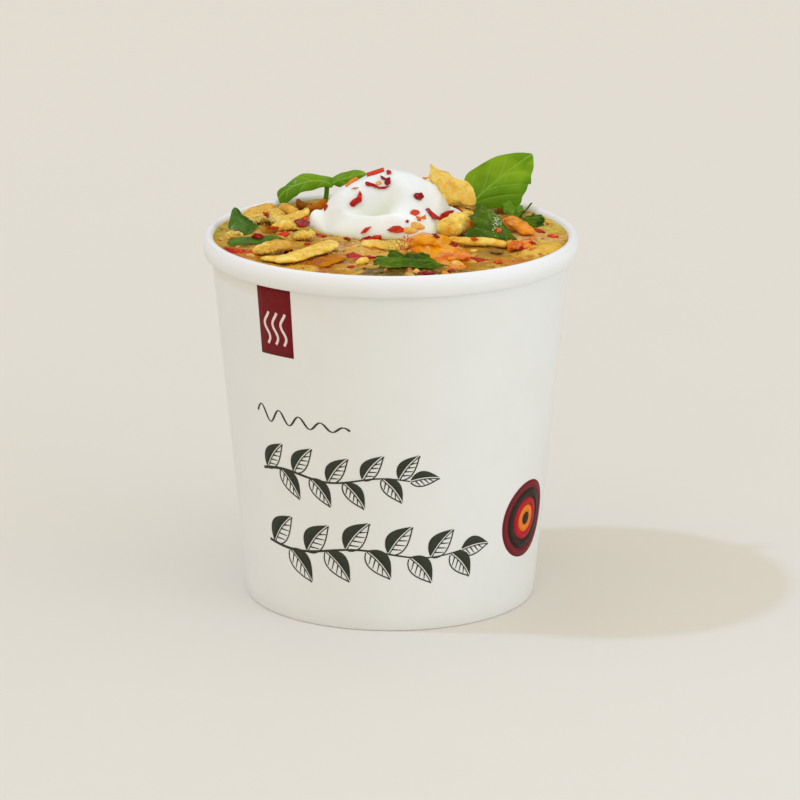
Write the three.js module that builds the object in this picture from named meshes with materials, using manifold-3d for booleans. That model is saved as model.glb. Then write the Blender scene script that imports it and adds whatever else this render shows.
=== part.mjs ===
// Paper pot of roasted vegetable soup with yoghurt, crisps, herbs, tomato and chilli flakes.
// Millimetres, +Z up. The origin is the middle of the pot's foot, on the surface that it stands on.
// The side that is looked at faces -Y.

import * as THREE from 'three';
import { mergeVertices } from 'three/addons/utils/BufferGeometryUtils.js';
import Module from 'manifold-3d';

// Pot: a tapered paper wall, a rolled rim, and a base disc set up inside the foot
const RIM_RADIUS = 49;
const RIM_CREST_RADIUS = 47.85;
const RIM_DEPTH = 5.8;
const POT_HEIGHT = 97.3;
const WALL_TOP_RADIUS = 46.85;
const FOOT_RADIUS = 38.2;
const WALL_THICKNESS = 0.6;
const FOOT_SKIRT_THICKNESS = 1.3;
const BASE_RECESS = 7;
const BASE_THICKNESS = 0.7;
const ROUND_STEPS = 64;

// Soup: filled almost to the rim, with a slow swell over what lies just under it
const SOUP_LEVEL = 96.1;
const SOUP_SWELL = 0.35;
const SOUP_WAVES = { x: 0.21, y: 0.17, slant: [0.4, -0.31], shiftX: 1.1, shiftY: -0.4 };
const SOUP_RINGS = [0.14, 0.28, 0.42, 0.56, 0.7, 0.82, 0.92, 1];

// Clear space between neighbouring pieces, and the thinnest edge of a lump
const GAP = 0.3;
const STACK_CLEARANCE = 1;
const EDGE = 0.5;

// Yoghurt: one spoonful, a broad plate with domes on it and the spoon's hollow between them
const YOGURT_CENTRE = [-2, 10];
const YOGURT_REACH = [18, 24.5, 20, 17, 14.5, 17.5, 19.8, 15.6, 14.2, 13.8, 16.5, 16.5];
const YOGURT_PLATE_HEIGHT = 3.8;
const YOGURT_DOMES = [
  { x: 1, y: 12.9, wide: 15.7, deep: 12.3, high: 14.8 },
  { x: -9.3, y: 9.9, wide: 9.5, deep: 9.3, high: 11.8 },
  { x: -2, y: 0.8, wide: 17.5, deep: 7, high: 5.6 },
  { x: -22.9, y: 11.3, wide: 5, deep: 7.1, high: 7.6 },
];
const YOGURT_DOME_CROWN = 2.3;
const YOGURT_SOFTNESS = 1.5;
const YOGURT_HOLLOW = { x: -6, y: 4.4, wide: 6, deep: 2, low: 1.8 };

// Leaves are thin and wavy, and chilli flakes and seeds lie half sunk in what carries them
const LEAF_THICKNESS = 0.4;
const FLAKE_THICKNESS = 0.7;
const SEED_THICKNESS = 0.9;

const degrees = (angle) => (angle * Math.PI) / 180;

// Repeatable random numbers between 0 and 1
function seededDraw(seed) {
  let state = seed;
  return () => {
    state = (Math.imul(state, 1664525) + 1013904223) >>> 0;
    return state / 4294967296;
  };
}

// Closed geometry from points and faces, turned right way out
function closedGeometry(points, faces) {
  const geometry = new THREE.BufferGeometry();
  const flat = points.flatMap((p) => [p.x, p.y, p.z]);
  geometry.setAttribute('position', new THREE.Float32BufferAttribute(flat, 3));
  const volume = faces.reduce((sum, [a, b, c]) => {
    const across = new THREE.Vector3().crossVectors(points[b], points[c]);
    return sum + points[a].dot(across);
  }, 0);
  const turned = volume < 0 ? faces.map(([a, b, c]) => [a, c, b]) : faces;
  geometry.setIndex(turned.flat());
  return geometry;
}

// Merged copy of a three.js shape, without the faces that have shrunk to a line
function mergedGeometry(source) {
  const bare = source.clone();
  bare.deleteAttribute('normal');
  bare.deleteAttribute('uv');
  const merged = mergeVertices(bare, 1e-4);
  const place = merged.getAttribute('position');
  const points = [];
  for (let i = 0; i < place.count; i += 1) {
    points.push(new THREE.Vector3().fromBufferAttribute(place, i));
  }
  const index = Array.from(merged.index.array);
  const faces = [];
  for (let i = 0; i < index.length; i += 3) {
    const [a, b, c] = index.slice(i, i + 3);
    if (a !== b && b !== c && c !== a) {
      faces.push([a, b, c]);
    }
  }
  return closedGeometry(points, faces);
}

// Closed body between an upper and a lower face over one outline.
// place(side, part, turn) gives a point: side 1 is the upper face, part runs from 0 in the middle to 1
// at the edge, and turn runs once round in radians.
function bodyBetween(place, steps, upperRings, lowerRings = upperRings) {
  const points = [];
  const faces = [];
  const edges = [upperRings, lowerRings].map((rings, index) => {
    const side = index === 0 ? 1 : -1;
    const face = (a, b, c) => faces.push(side > 0 ? [a, b, c] : [a, c, b]);
    const middle = points.length;
    points.push(place(side, 0, 0));
    rings.forEach((part, ring) => {
      for (let step = 0; step < steps; step += 1) {
        points.push(place(side, part, (2 * Math.PI * step) / steps));
        const here = middle + 1 + ring * steps + step;
        const next = middle + 1 + ring * steps + ((step + 1) % steps);
        if (ring === 0) {
          face(middle, here, next);
        } else {
          face(here - steps, here, next);
          face(here - steps, next, next - steps);
        }
      }
    });
    return middle + 1 + (rings.length - 1) * steps;
  });
  for (let step = 0; step < steps; step += 1) {
    const next = (step + 1) % steps;
    faces.push([edges[0] + step, edges[1] + step, edges[1] + next]);
    faces.push([edges[0] + step, edges[1] + next, edges[0] + next]);
  }
  return closedGeometry(points, faces);
}

// Cutting and joining
const wasm = await Module();
wasm.setup();

function toSolid(geometry) {
  return new wasm.Manifold(new wasm.Mesh({
    numProp: 3,
    vertProperties: new Float32Array(geometry.getAttribute('position').array),
    triVerts: new Uint32Array(geometry.index.array),
  }));
}

function fromSolid(solid) {
  const mesh = solid.getMesh();
  const geometry = new THREE.BufferGeometry();
  geometry.setAttribute('position', new THREE.Float32BufferAttribute(mesh.vertProperties, 3));
  geometry.setIndex(Array.from(mesh.triVerts));
  return geometry;
}

function joined(geometries) {
  return fromSolid(geometries.map(toSolid).reduce((whole, piece) => whole.add(piece)));
}

// Height of a geometry's top above a point of the plan, or minus infinity beside it
function topOf(geometry) {
  const place = geometry.getAttribute('position');
  const index = geometry.index.array;
  return (x, y) => {
    let top = -Infinity;
    for (let i = 0; i < index.length; i += 3) {
      const [ax, ay, bx, by, cx, cy] = [0, 1, 2].flatMap(
        (k) => [place.getX(index[i + k]) - x, place.getY(index[i + k]) - y],
      );
      const [a, b, c] = [bx * cy - by * cx, cx * ay - cy * ax, ax * by - ay * bx];
      const all = a + b + c;
      const inside = Math.min(a, b, c) >= 0 || Math.max(a, b, c) <= 0;
      if (inside && Math.abs(all) > 1e-9) {
        const height = [a, b, c].reduce(
          (sum, share, k) => sum + (share / all) * place.getZ(index[i + k]),
          0,
        );
        top = Math.max(top, height);
      }
    }
    return top;
  };
}

// The surfaces that the toppings are laid on

function soupTop(x, y) {
  const calm = Math.max(0, 1 - Math.hypot(x, y) / WALL_TOP_RADIUS);
  const waves = SOUP_WAVES;
  const broad = Math.sin(waves.x * x + waves.shiftX) * Math.cos(waves.y * y + waves.shiftY);
  const slanted = 0.5 * Math.sin(waves.slant[0] * x + waves.slant[1] * y);
  return SOUP_LEVEL + SOUP_SWELL * (broad + slanted) * Math.min(1, 3 * calm);
}

// Reach of the yoghurt at a turn about its centre, smooth between evenly spaced values
function yogurtReach(turn) {
  const count = YOGURT_REACH.length;
  const spot = (((turn / (2 * Math.PI)) % 1) + 1) * count;
  const first = Math.floor(spot);
  const part = spot - first;
  const blend = part * part * (3 - 2 * part);
  const before = YOGURT_REACH[first % count];
  const after = YOGURT_REACH[(first + 1) % count];
  return before + (after - before) * blend;
}

// Height of the yoghurt over the soup, at a part of its reach
function yogurtHeight(x, y, part) {
  const plate = YOGURT_PLATE_HEIGHT * Math.sqrt(Math.max(0, 1 - part ** 4));
  const domes = YOGURT_DOMES.map((dome) => {
    const away = Math.hypot((x - dome.x) / dome.wide, (y - dome.y) / dome.deep);
    return dome.high * Math.max(0, 1 - away ** YOGURT_DOME_CROWN) ** 0.75;
  });
  const total = [plate, ...domes].reduce((sum, high) => sum + Math.exp(high / YOGURT_SOFTNESS), 0);
  const joint = YOGURT_SOFTNESS * Math.log(total);
  const soft = joint - YOGURT_SOFTNESS * Math.log(4) * Math.exp(-joint / 3);
  const hollow = YOGURT_HOLLOW;
  const near = ((x - hollow.x) / hollow.wide) ** 2 + ((y - hollow.y) / hollow.deep) ** 2;
  const rounded = Math.min(1, 6 * (1 - part));
  return (soft - hollow.low * Math.exp(-near)) * Math.sqrt(rounded);
}

function yogurtTop(x, y) {
  const [dx, dy] = [x - YOGURT_CENTRE[0], y - YOGURT_CENTRE[1]];
  const part = Math.hypot(dx, dy) / yogurtReach(Math.atan2(dy, dx));
  return part >= 1 ? -Infinity : soupTop(x, y) + GAP + EDGE + yogurtHeight(x, y, part);
}

// Lowest place that a topping may have: clear of the soup, the yoghurt and the pieces that it lies over
function restingHeight(x, y, over = [], clear = 0) {
  const pieces = over.map((top) => top(x, y) + clear);
  return Math.max(soupTop(x, y), yogurtTop(x, y), ...pieces) + GAP;
}

// Pot

function rimOutline() {
  const middle = POT_HEIGHT - RIM_DEPTH / 2;
  const half = RIM_RADIUS - RIM_CREST_RADIUS;
  const squareness = 0.8;
  const from = degrees(-110);
  const to = degrees(165);
  const count = 11;
  return Array.from({ length: count + 1 }, (_, k) => {
    const angle = from + ((to - from) * k) / count;
    const bent = (value) => Math.sign(value) * Math.abs(value) ** squareness;
    return new THREE.Vector2(
      RIM_CREST_RADIUS + half * bent(Math.cos(angle)),
      middle + (RIM_DEPTH / 2) * bent(Math.sin(angle)),
    );
  });
}

function wallRadius(height) {
  const part = height / (POT_HEIGHT - RIM_DEPTH);
  return FOOT_RADIUS + (WALL_TOP_RADIUS - FOOT_RADIUS) * part;
}

function pot() {
  const baseTop = BASE_RECESS + BASE_THICKNESS;
  const innerTop = POT_HEIGHT - RIM_DEPTH;
  const footRound = 0.3;
  const outline = [
    new THREE.Vector2(0, BASE_RECESS),
    new THREE.Vector2(wallRadius(BASE_RECESS) - FOOT_SKIRT_THICKNESS, BASE_RECESS),
    new THREE.Vector2(FOOT_RADIUS - FOOT_SKIRT_THICKNESS, 0),
    new THREE.Vector2(FOOT_RADIUS - footRound, 0),
    new THREE.Vector2(wallRadius(footRound), footRound),
    new THREE.Vector2(wallRadius(innerTop), innerTop),
    ...rimOutline(),
    new THREE.Vector2(wallRadius(innerTop) - WALL_THICKNESS, innerTop),
    new THREE.Vector2(wallRadius(baseTop) - WALL_THICKNESS, baseTop),
    new THREE.Vector2(0, baseTop),
  ];
  const turned = new THREE.LatheGeometry(outline, ROUND_STEPS);
  turned.rotateX(Math.PI / 2);
  return mergedGeometry(turned);
}

// Soup

function soup() {
  const bottom = BASE_RECESS + BASE_THICKNESS + GAP;
  const reachAt = (height) => wallRadius(height) - WALL_THICKNESS - GAP;
  const place = (side, part, turn) => {
    const reach = part * reachAt(side > 0 ? SOUP_LEVEL : bottom);
    const [x, y] = [reach * Math.cos(turn), reach * Math.sin(turn)];
    return new THREE.Vector3(x, y, side > 0 ? soupTop(x, y) : bottom);
  };
  return bodyBetween(place, ROUND_STEPS, SOUP_RINGS, [1]);
}

// Yoghurt

function yogurt() {
  const steps = 40;
  const upperRings = [0.12, 0.24, 0.36, 0.48, 0.6, 0.71, 0.81, 0.89, 0.95, 1];
  const lowerRings = [0.35, 0.7, 1];
  const place = (side, part, turn) => {
    const reach = part * yogurtReach(turn);
    const x = YOGURT_CENTRE[0] + reach * Math.cos(turn);
    const y = YOGURT_CENTRE[1] + reach * Math.sin(turn);
    const floor = soupTop(x, y) + GAP;
    return new THREE.Vector3(x, y, side > 0 ? floor + EDGE + yogurtHeight(x, y, part) : floor);
  };
  return bodyBetween(place, steps, upperRings, lowerRings);
}

// Rough lump of crisp, crouton or vegetable, laid along a spine.
// Each spine point is [x, y, rise], with rise the height of its middle over what it lies on.
// `flare` makes it wider towards its last spine point, or towards its first where it is negative.
function lump({ spine, wide, high, seed, rough = 0.16, rings = 6, sides = 8, flare = 0, over = [] }) {
  const draw = seededDraw(seed);
  const curve = new THREE.CatmullRomCurve3(
    spine.map(([x, y, rise]) => new THREE.Vector3(x, y, restingHeight(x, y, over) + rise)),
  );
  const points = [];
  const faces = [];
  const settle = (point, edge) => {
    const floor = restingHeight(point.x, point.y, over, STACK_CLEARANCE) + edge;
    return point.setZ(Math.max(point.z, floor));
  };
  const bluntness = 0.36;
  for (let ring = 0; ring < rings; ring += 1) {
    const part = (ring + 0.5) / rings;
    const middle = curve.getPoint(part);
    const along = curve.getTangent(part);
    const across = new THREE.Vector3(-along.y, along.x, 0).normalize();
    const size = Math.sin(Math.PI * part) ** bluntness * (1 + 0.8 * rough * (2 * draw() - 1));
    for (let side = 0; side < sides; side += 1) {
      const angle = (2 * Math.PI * side) / sides;
      const uneven = 1 + rough * (2 * draw() - 1);
      const reach = wide * (1 + flare * (part - 0.5)) * size * uneven;
      const point = middle.clone().addScaledVector(across, reach * Math.cos(angle));
      point.z += high * size * uneven * Math.sin(angle);
      points.push(settle(point, Math.sin(angle) > 0.01 ? EDGE : 0));
    }
  }
  for (let ring = 0; ring + 1 < rings; ring += 1) {
    for (let side = 0; side < sides; side += 1) {
      const here = ring * sides + side;
      const next = ring * sides + ((side + 1) % sides);
      faces.push([here, here + sides, next + sides], [here, next + sides, next]);
    }
  }
  const ends = [curve.getPoint(0), curve.getPoint(1)].map((point) => settle(point, EDGE / 2));
  const [first, last] = [points.length, points.length + 1];
  points.push(...ends);
  for (let side = 0; side < sides; side += 1) {
    const next = (side + 1) % sides;
    const lastRing = (rings - 1) * sides;
    faces.push([first, side, next], [last, lastRing + next, lastRing + side]);
  }
  return closedGeometry(points, faces);
}

// Leaves and thin chips.
// A leaf's midrib starts at its root, heads over the plan at `heading`, climbs at `climb` and bends down
// by `droop` along its length. `roll` turns the leaf about its midrib and `fold` lifts its halves.
function leafFrame(leaf, part) {
  const heading = degrees(leaf.heading);
  const start = degrees(leaf.climb);
  const bend = degrees(leaf.droop);
  const roll = degrees(leaf.roll ?? 0);
  const slope = start - bend * part;
  const run = (leaf.long * (Math.sin(start) - Math.sin(slope))) / bend;
  const rise = (leaf.long * (Math.cos(slope) - Math.cos(start))) / bend;
  const ahead = new THREE.Vector3(Math.cos(heading), Math.sin(heading), 0);
  const left = new THREE.Vector3(-ahead.y, ahead.x, 0);
  const up = ahead.clone().multiplyScalar(-Math.sin(slope)).setZ(Math.cos(slope));
  return {
    middle: new THREE.Vector3(...leaf.root).addScaledVector(ahead, run).add(new THREE.Vector3(0, 0, rise)),
    across: left.clone().multiplyScalar(Math.cos(roll)).addScaledVector(up, Math.sin(roll)),
    facing: up.clone().multiplyScalar(Math.cos(roll)).addScaledVector(left, -Math.sin(roll)),
  };
}

// Outlines give the part of the length and the part of the half width, at a turn round the leaf
const ovateOutline = (turn) => {
  const part = 0.5 - 0.5 * Math.cos(turn);
  return [part, Math.sign(Math.sin(turn)) * Math.sin(Math.PI * part ** 0.68) ** 0.75];
};

const lobedOutline = (lobes, notch) => (turn) => {
  const reach = 1 - notch * (1 - Math.abs(Math.cos((lobes * turn) / 2)) ** 0.7);
  return [0.5 - 0.5 * reach * Math.cos(turn), reach * Math.sin(turn)];
};

const chipOutline = (turn) => {
  const reach = 1 + 0.08 * Math.sin(3 * turn + 0.6) + 0.06 * Math.sin(5 * turn);
  const point = 1 - 0.45 * Math.max(0, -Math.cos(turn)) ** 2;
  return [0.5 - 0.5 * reach * Math.cos(turn), reach * point * Math.sin(turn)];
};

function leaf(shape) {
  const { outline = ovateOutline, steps = 24, rings = [0.4, 0.75, 1], over = [] } = shape;
  const thick = shape.thick ?? LEAF_THICKNESS;
  const ripple = shape.ripple ?? 0.25;
  const place = (side, part, turn) => {
    const [along, aside] = outline(turn);
    const spot = 0.5 + part * (along - 0.5);
    const offset = part * aside * shape.wide;
    const { middle, across, facing } = leafFrame(shape, spot);
    const lift = (shape.fold ?? 0) * Math.abs(offset) + ripple * Math.sin(9 * spot + 0.6 * offset);
    const point = middle.addScaledVector(across, offset).addScaledVector(facing, lift);
    const floor = restingHeight(point.x, point.y, over) + thick / 2 + (shape.clear ?? 0);
    point.z = Math.max(point.z, floor);
    return point.addScaledVector(facing, (side * thick) / 2);
  };
  return bodyBetween(place, steps, rings);
}

function stem(from, to, thick) {
  const line = new THREE.LineCurve3(new THREE.Vector3(...from), new THREE.Vector3(...to));
  const sides = 6;
  const section = new THREE.Shape(Array.from({ length: sides }, (_, k) => {
    const turn = (2 * Math.PI * k) / sides;
    return new THREE.Vector2(Math.cos(turn), Math.sin(turn)).multiplyScalar(thick / 2);
  }));
  return mergedGeometry(new THREE.ExtrudeGeometry(section, { extrudePath: line, steps: 1 }));
}

// Small toppings that are fused to what they lie on

// Flat chip of dried chilli, or a seed, lying on a surface at x, y
function flake({ at: [x, y], long, wide, turn = 0, seed = false }, surface) {
  const thick = seed ? SEED_THICKNESS : FLAKE_THICKNESS;
  const shape = seed ? new THREE.IcosahedronGeometry(0.5) : new THREE.CylinderGeometry(0.5, 0.42, 1, 5);
  if (!seed) {
    shape.rotateX(Math.PI / 2);
  }
  const reach = 0.5;
  const slope = new THREE.Vector3(
    surface(x - reach, y) - surface(x + reach, y),
    surface(x, y - reach) - surface(x, y + reach),
    2 * reach,
  ).normalize();
  const tilt = new THREE.Quaternion().setFromUnitVectors(new THREE.Vector3(0, 0, 1), slope);
  const spin = new THREE.Quaternion().setFromAxisAngle(new THREE.Vector3(0, 0, 1), degrees(turn));
  shape.applyMatrix4(new THREE.Matrix4().compose(
    new THREE.Vector3(x, y, surface(x, y)),
    tilt.multiply(spin),
    new THREE.Vector3(long, wide, thick),
  ));
  return mergedGeometry(shape);
}

// Body with the flakes fused on that keep clear of the pieces that lie over it
function sprinkled(body, flakes, surface, others) {
  const clear = ({ at: [x, y], long }) => {
    const reach = long / 2 + GAP;
    const spots = [[0, 0], [reach, 0], [-reach, 0], [0, reach], [0, -reach]];
    return spots.every(([dx, dy]) => Number.isFinite(surface(x + dx, y + dy))
      && others.every((top) => top(x + dx, y + dy) === -Infinity));
  };
  return joined([body, ...flakes.filter(clear).map((one) => flake(one, surface))]);
}

// The flakes and seeds that show, largest first
const YOGURT_FLAKES = [
  { at: [-5.2, 5.6], long: 4.2, wide: 1.8, turn: 25 },
  { at: [-9.3, 3.2], long: 4, wide: 2.2, turn: 60 },
  { at: [10.2, -0.5], long: 4.2, wide: 1.5, turn: -25 },
  { at: [3.4, -2.4], long: 4.4, wide: 2, turn: 10 },
  { at: [-1.4, 6.2], long: 3.2, wide: 1.8, turn: -50 },
  { at: [8.2, 3.6], long: 2.6, wide: 2, turn: 0 },
  { at: [8, -3.6], long: 3.6, wide: 2.2, turn: 0, seed: true },
  { at: [-2, 13], long: 4.4, wide: 1.3, turn: 20 },
  { at: [6, 17], long: 4, wide: 1.6, turn: 110 },
  { at: [-7, 17], long: 3.2, wide: 1.6, turn: 70 },
  { at: [1, 21], long: 3.4, wide: 1.8, turn: 10 },
  { at: [12, 20], long: 3, wide: 2, turn: 0, seed: true },
];

const SOUP_FLAKES = [
  { at: [-39.6, -17.5], long: 5.6, wide: 2.4, turn: -38 },
  { at: [-9.4, -23], long: 4.6, wide: 3.2, turn: 10 },
  { at: [21.5, -26.5], long: 6, wide: 2, turn: 20 },
  { at: [9.4, -39.6], long: 4.7, wide: 1.6, turn: 8 },
  { at: [16.5, -33.5], long: 3.8, wide: 2.4, turn: -30, seed: true },
  { at: [26.5, -22.5], long: 3.6, wide: 2.2, turn: 15, seed: true },
  { at: [38.6, 4.6], long: 3.2, wide: 2, turn: -25 },
  { at: [42.3, -3], long: 3, wide: 1.6, turn: 20 },
  { at: [-34.6, -0.8], long: 3.4, wide: 1.4, turn: 0 },
  { at: [-18.6, 0], long: 3, wide: 1.4, turn: 15 },
];

// Flakes of the side that is turned away, spread at even turns with a seeded shift
function scatteredFlakes(count, seed) {
  const draw = seededDraw(seed);
  return Array.from({ length: count }, (_, k) => {
    const turn = Math.PI * ((k + 0.5) / count) + 0.15 * draw();
    const reach = 26 + 16 * draw();
    return {
      at: [reach * Math.cos(turn), reach * Math.sin(turn)],
      long: 2.6 + 2 * draw(),
      wide: 1.4 + draw(),
      turn: 180 * draw(),
      seed: k % 4 === 3,
    };
  });
}

// Colours, with roughness
const MATERIALS = {
  paper: ['#e9e8e3', 0.5],
  soup: ['#c39a4c', 0.35],
  yogurt: ['#efeeea', 0.4],
  crisp: ['#d6a048', 0.6],
  basil: ['#6f9a16', 0.45],
  coriander: ['#2f5a14', 0.4],
  tomato: ['#d5692a', 0.3],
  pepper: ['#8a5410', 0.35],
};

const group = new THREE.Group();
const tops = {};

function addPiece(name, finish, geometry) {
  const [color, roughness] = MATERIALS[finish];
  const material = new THREE.MeshStandardMaterial({ color, roughness, metalness: 0 });
  const mesh = new THREE.Mesh(geometry, material);
  mesh.name = name;
  group.add(mesh);
  tops[name] = topOf(geometry);
}

const over = (...names) => names.map((name) => tops[name]);

// Crisps: rough golden fried strips, curls and crumbs, and the crisps that lie under each
const CRISPS = {
  crisp_right: {
    spine: [[12.8, -1.2, 1.3], [16.6, 1.6, 2.4], [20.2, 6.2, 2.6], [22.6, 11.2, 2.4]],
    wide: 4.1, high: 2.9, rings: 7, flare: -0.6,
  },
  crisp_strip_right: {
    spine: [[14.4, -8, 0.8], [19.6, -11.4, 1.1], [24.8, -12, 0.9], [30.4, -12.4, 0.5]],
    wide: 2, high: 1.1, rings: 8, under: ['crisp_right'],
  },
  crisp_strip_front: {
    spine: [[-33.4, -27, 0.3], [-27.6, -29, 0.7], [-21, -22.4, 1.3], [-14, -13, 1.5]],
    wide: 3.3, high: 1.2, rings: 9, flare: 0.6,
  },
  crisp_mound_left: {
    spine: [[-35.6, -21.6, 0.3], [-30.6, -19, 1.4], [-25.4, -16.2, 1.2]], wide: 3.2, high: 1.7,
    under: ['crisp_strip_front'],
  },
  crisp_crumb_left: {
    spine: [[-42.8, -2.6, 0.5], [-38.6, -3.6, 0.9]], wide: 1.8, high: 1.1, rings: 4, sides: 6,
  },
  crisp_back_strip: {
    spine: [[-39, 18.6, 0.7], [-34.6, 23.4, 1.2], [-31, 29.4, 0.9]], wide: 1.9, high: 1.4,
  },
  crisp_back_left: {
    spine: [[-39, 12.8, 0.6], [-34, 15.6, 1.4], [-28.8, 20, 1.3]], wide: 4, high: 1.7,
    under: ['crisp_back_strip'],
  },
  crisp_back_mid: {
    spine: [[-32, 10.6, 0.8], [-27, 11.8, 1.3], [-21.4, 11.4, 0.9]], wide: 3.8, high: 1.5,
    under: ['crisp_back_left'],
  },
  crisp_side: {
    spine: [[-31.4, 3, 0.6], [-26.6, 4.6, 1.2], [-21.8, 4, 0.9]], wide: 3.8, high: 1.5,
    under: ['crisp_back_mid', 'crisp_back_left'],
  },
  crisp_side_low: {
    spine: [[-25.4, -3, 0.6], [-19.6, -4.6, 0.9]], wide: 2.9, high: 1.3, rings: 5,
    under: ['crisp_side'],
  },
  crisp_crescent: {
    spine: [[-29.2, 28.6, 0.9], [-27, 22.4, 1.4], [-22.8, 16, 0.9]], wide: 1.6, high: 1.3,
    under: ['crisp_back_strip', 'crisp_back_left', 'crisp_back_mid'],
  },
  crouton_front: { spine: [[-9, -31, 0.5], [-5.6, -31.4, 0.8]], wide: 2, high: 1.1, rings: 4, sides: 6 },
  crisp_front: { spine: [[-7.8, -13.6, 0.5], [-2.4, -14.8, 1], [2, -17.6, 0.6]], wide: 3, high: 1.2 },
  crisp_behind_left: { spine: [[-10, 33, 0.8], [-4, 37.4, 1.5], [3, 37, 0.9]], wide: 2.8, high: 1.6 },
  crisp_behind_right: { spine: [[8.6, 37, 0.8], [13.4, 36.4, 1.7], [18.4, 32.4, 1]], wide: 2.9, high: 1.8 },
  crisp_behind_far: { spine: [[12.4, 43, 0.6], [20, 40.4, 1], [26, 36.6, 0.6]], wide: 1.8, high: 1.2 },
};

Object.entries(CRISPS).forEach(([name, { under = [], ...shape }], k) => {
  addPiece(name, 'crisp', lump({ seed: 31 * k + 3, over: over(...under), ...shape }));
});

addPiece('crisp_standing', 'crisp', leaf({
  root: [22.4, 9.6, 102.6], heading: 144, climb: 40, droop: 16, roll: -58, long: 16.8, wide: 3.4,
  thick: 1.6, fold: 0.16, ripple: 0.45, outline: chipOutline, steps: 18, rings: [0.5, 1],
  over: over('crisp_right'),
}));

// Roasted vegetables: tomato, pepper and mushroom
const VEGETABLES = {
  tomato_front: {
    spine: [[3.8, -12.4, 0.8], [9.4, -15.4, 1.9], [14.6, -18.8, 1.6]],
    wide: 4.4, high: 2.4, rings: 7,
  },
  tomato_front_low: {
    spine: [[14, -27.2, 0.5], [17, -27.6, 0.9], [20.4, -25.6, 0.8]], wide: 2.4, high: 1.2, rings: 5,
  },
  tomato_right: { spine: [[30.4, 9.6, 1.9], [33.6, 3.8, 1.6], [36.6, -2.6, 0.7]], wide: 3, high: 1.6 },
  tomato_right_low: { spine: [[30.6, -15.8, 0.6], [36.6, -10.6, 0.9]], wide: 3.2, high: 1.2 },
  tomato_behind: { spine: [[-9.8, 40.6, 0.7], [-4, 43, 0.8]], wide: 1.9, high: 1.2, rings: 5 },
  tomato_behind_right: { spine: [[26.4, 29.6, 0.6], [32.4, 27.4, 0.7]], wide: 2.6, high: 1, rings: 5 },
  pepper_behind: { spine: [[2, 42.6, 0.5], [8.6, 42.4, 0.7]], wide: 1.8, high: 1, rings: 5 },
  pepper_back_left: {
    spine: [[-25.2, 29.4, 2.4], [-22.8, 26, 1.3], [-19.8, 26, 1.3], [-17.4, 28.6, 2.4]],
    wide: 1.5, high: 1.5, rings: 8,
  },
  pepper_back: { spine: [[-14.6, 34.6, 0.7], [-11, 31, 0.8]], wide: 1.7, high: 1, rings: 5 },
  pepper_front: { spine: [[-19.6, -35.4, 0.3], [-12.6, -24.4, 0.5]], wide: 3.3, high: 0.8 },
  mushroom_right: { spine: [[25.6, -17.6, 0.3], [29.2, -18.2, 0.3]], wide: 2, high: 0.5, rings: 4 },
};

Object.entries(VEGETABLES).forEach(([name, shape], k) => {
  const finish = name.startsWith('tomato') ? 'tomato' : 'pepper';
  addPiece(name, finish, lump({ seed: 53 * k + 11, rough: 0.1, ...shape }));
});

// Herbs
addPiece('basil_leaf', 'basil', leaf({
  root: [20.6, 25.8, 97.8], heading: 21, climb: 43, droop: 16, roll: 57, long: 23, wide: 7, fold: 0.2,
}));
const SPRIG_TOP = [-16, 36, 101.6];
addPiece('basil_sprig', 'basil', joined([
  leaf({
    root: SPRIG_TOP, heading: 184, climb: 24, droop: 80, roll: -42, long: 16.4, wide: 3, fold: -0.2,
  }),
  leaf({
    root: SPRIG_TOP, heading: -2, climb: 30, droop: 26, roll: 44, long: 10.6, wide: 2.9, fold: -0.2,
  }),
  stem([-17.2, 36, 101.6], [-18, 36.4, SOUP_LEVEL + 0.8], 1.3),
]));
addPiece('coriander_left', 'coriander', leaf({
  root: [-38.2, 1.8, 97], heading: 113, climb: 34, droop: 8, long: 9.2, wide: 4.6, fold: -0.5,
  outline: lobedOutline(6, 0.2), steps: 30, over: over('crisp_back_left', 'crisp_back_mid', 'crisp_side'),
}));
addPiece('coriander_strip', 'coriander', leaf({
  root: [-42.4, -12.4, 97], heading: 21, climb: 6, droop: 10, roll: 30, long: 15, wide: 1.5,
}));
addPiece('coriander_front', 'coriander', leaf({
  root: [14.6, -34.4, 97], heading: 167, climb: 8, droop: 14, roll: -32, long: 19.6, wide: 5,
  outline: lobedOutline(7, 0.24), steps: 36,
}));
addPiece('coriander_right', 'coriander', leaf({
  root: [27.6, -8.2, 97.2], heading: 103, climb: 33, droop: 20, long: 14.6, wide: 7, fold: -0.25, clear: 1,
  outline: lobedOutline(7, 0.24), steps: 36, over: over('crisp_right', 'crisp_strip_right', 'tomato_right'),
}));
addPiece('coriander_back', 'coriander', joined([
  leaf({
    root: [33.4, 13.2, 97.2], heading: 92, climb: 42, droop: 36, long: 7.8, wide: 3, fold: -0.2,
    outline: lobedOutline(5, 0.2), steps: 20, rings: [0.5, 1], over: over('tomato_right'),
  }),
  leaf({
    root: [33.6, 12.6, 97.4], heading: 6, climb: 14, droop: 22, long: 7.8, wide: 3.2, fold: -0.2,
    outline: lobedOutline(5, 0.2), steps: 20, rings: [0.5, 1], over: over('tomato_right'),
  }),
]));
addPiece('coriander_behind', 'coriander', leaf({
  root: [-2, 30, 97], heading: 12, climb: 8, droop: 16, long: 9, wide: 3.6, fold: -0.2,
  outline: lobedOutline(6, 0.24), steps: 24, rings: [0.5, 1], over: over('crisp_behind_left'),
}));

// Yoghurt, soup and pot
const laidOver = Object.values(tops);
const yogurtGeometry = yogurt();
const soupFlakes = [...SOUP_FLAKES, ...scatteredFlakes(18, 97)];
addPiece('yogurt', 'yogurt', sprinkled(yogurtGeometry, YOGURT_FLAKES, yogurtTop, laidOver));
addPiece('soup', 'soup', sprinkled(soup(), soupFlakes, soupTop, [...laidOver, topOf(yogurtGeometry)]));
addPiece('cup', 'paper', pot());

export default group;
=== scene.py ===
import math

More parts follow.
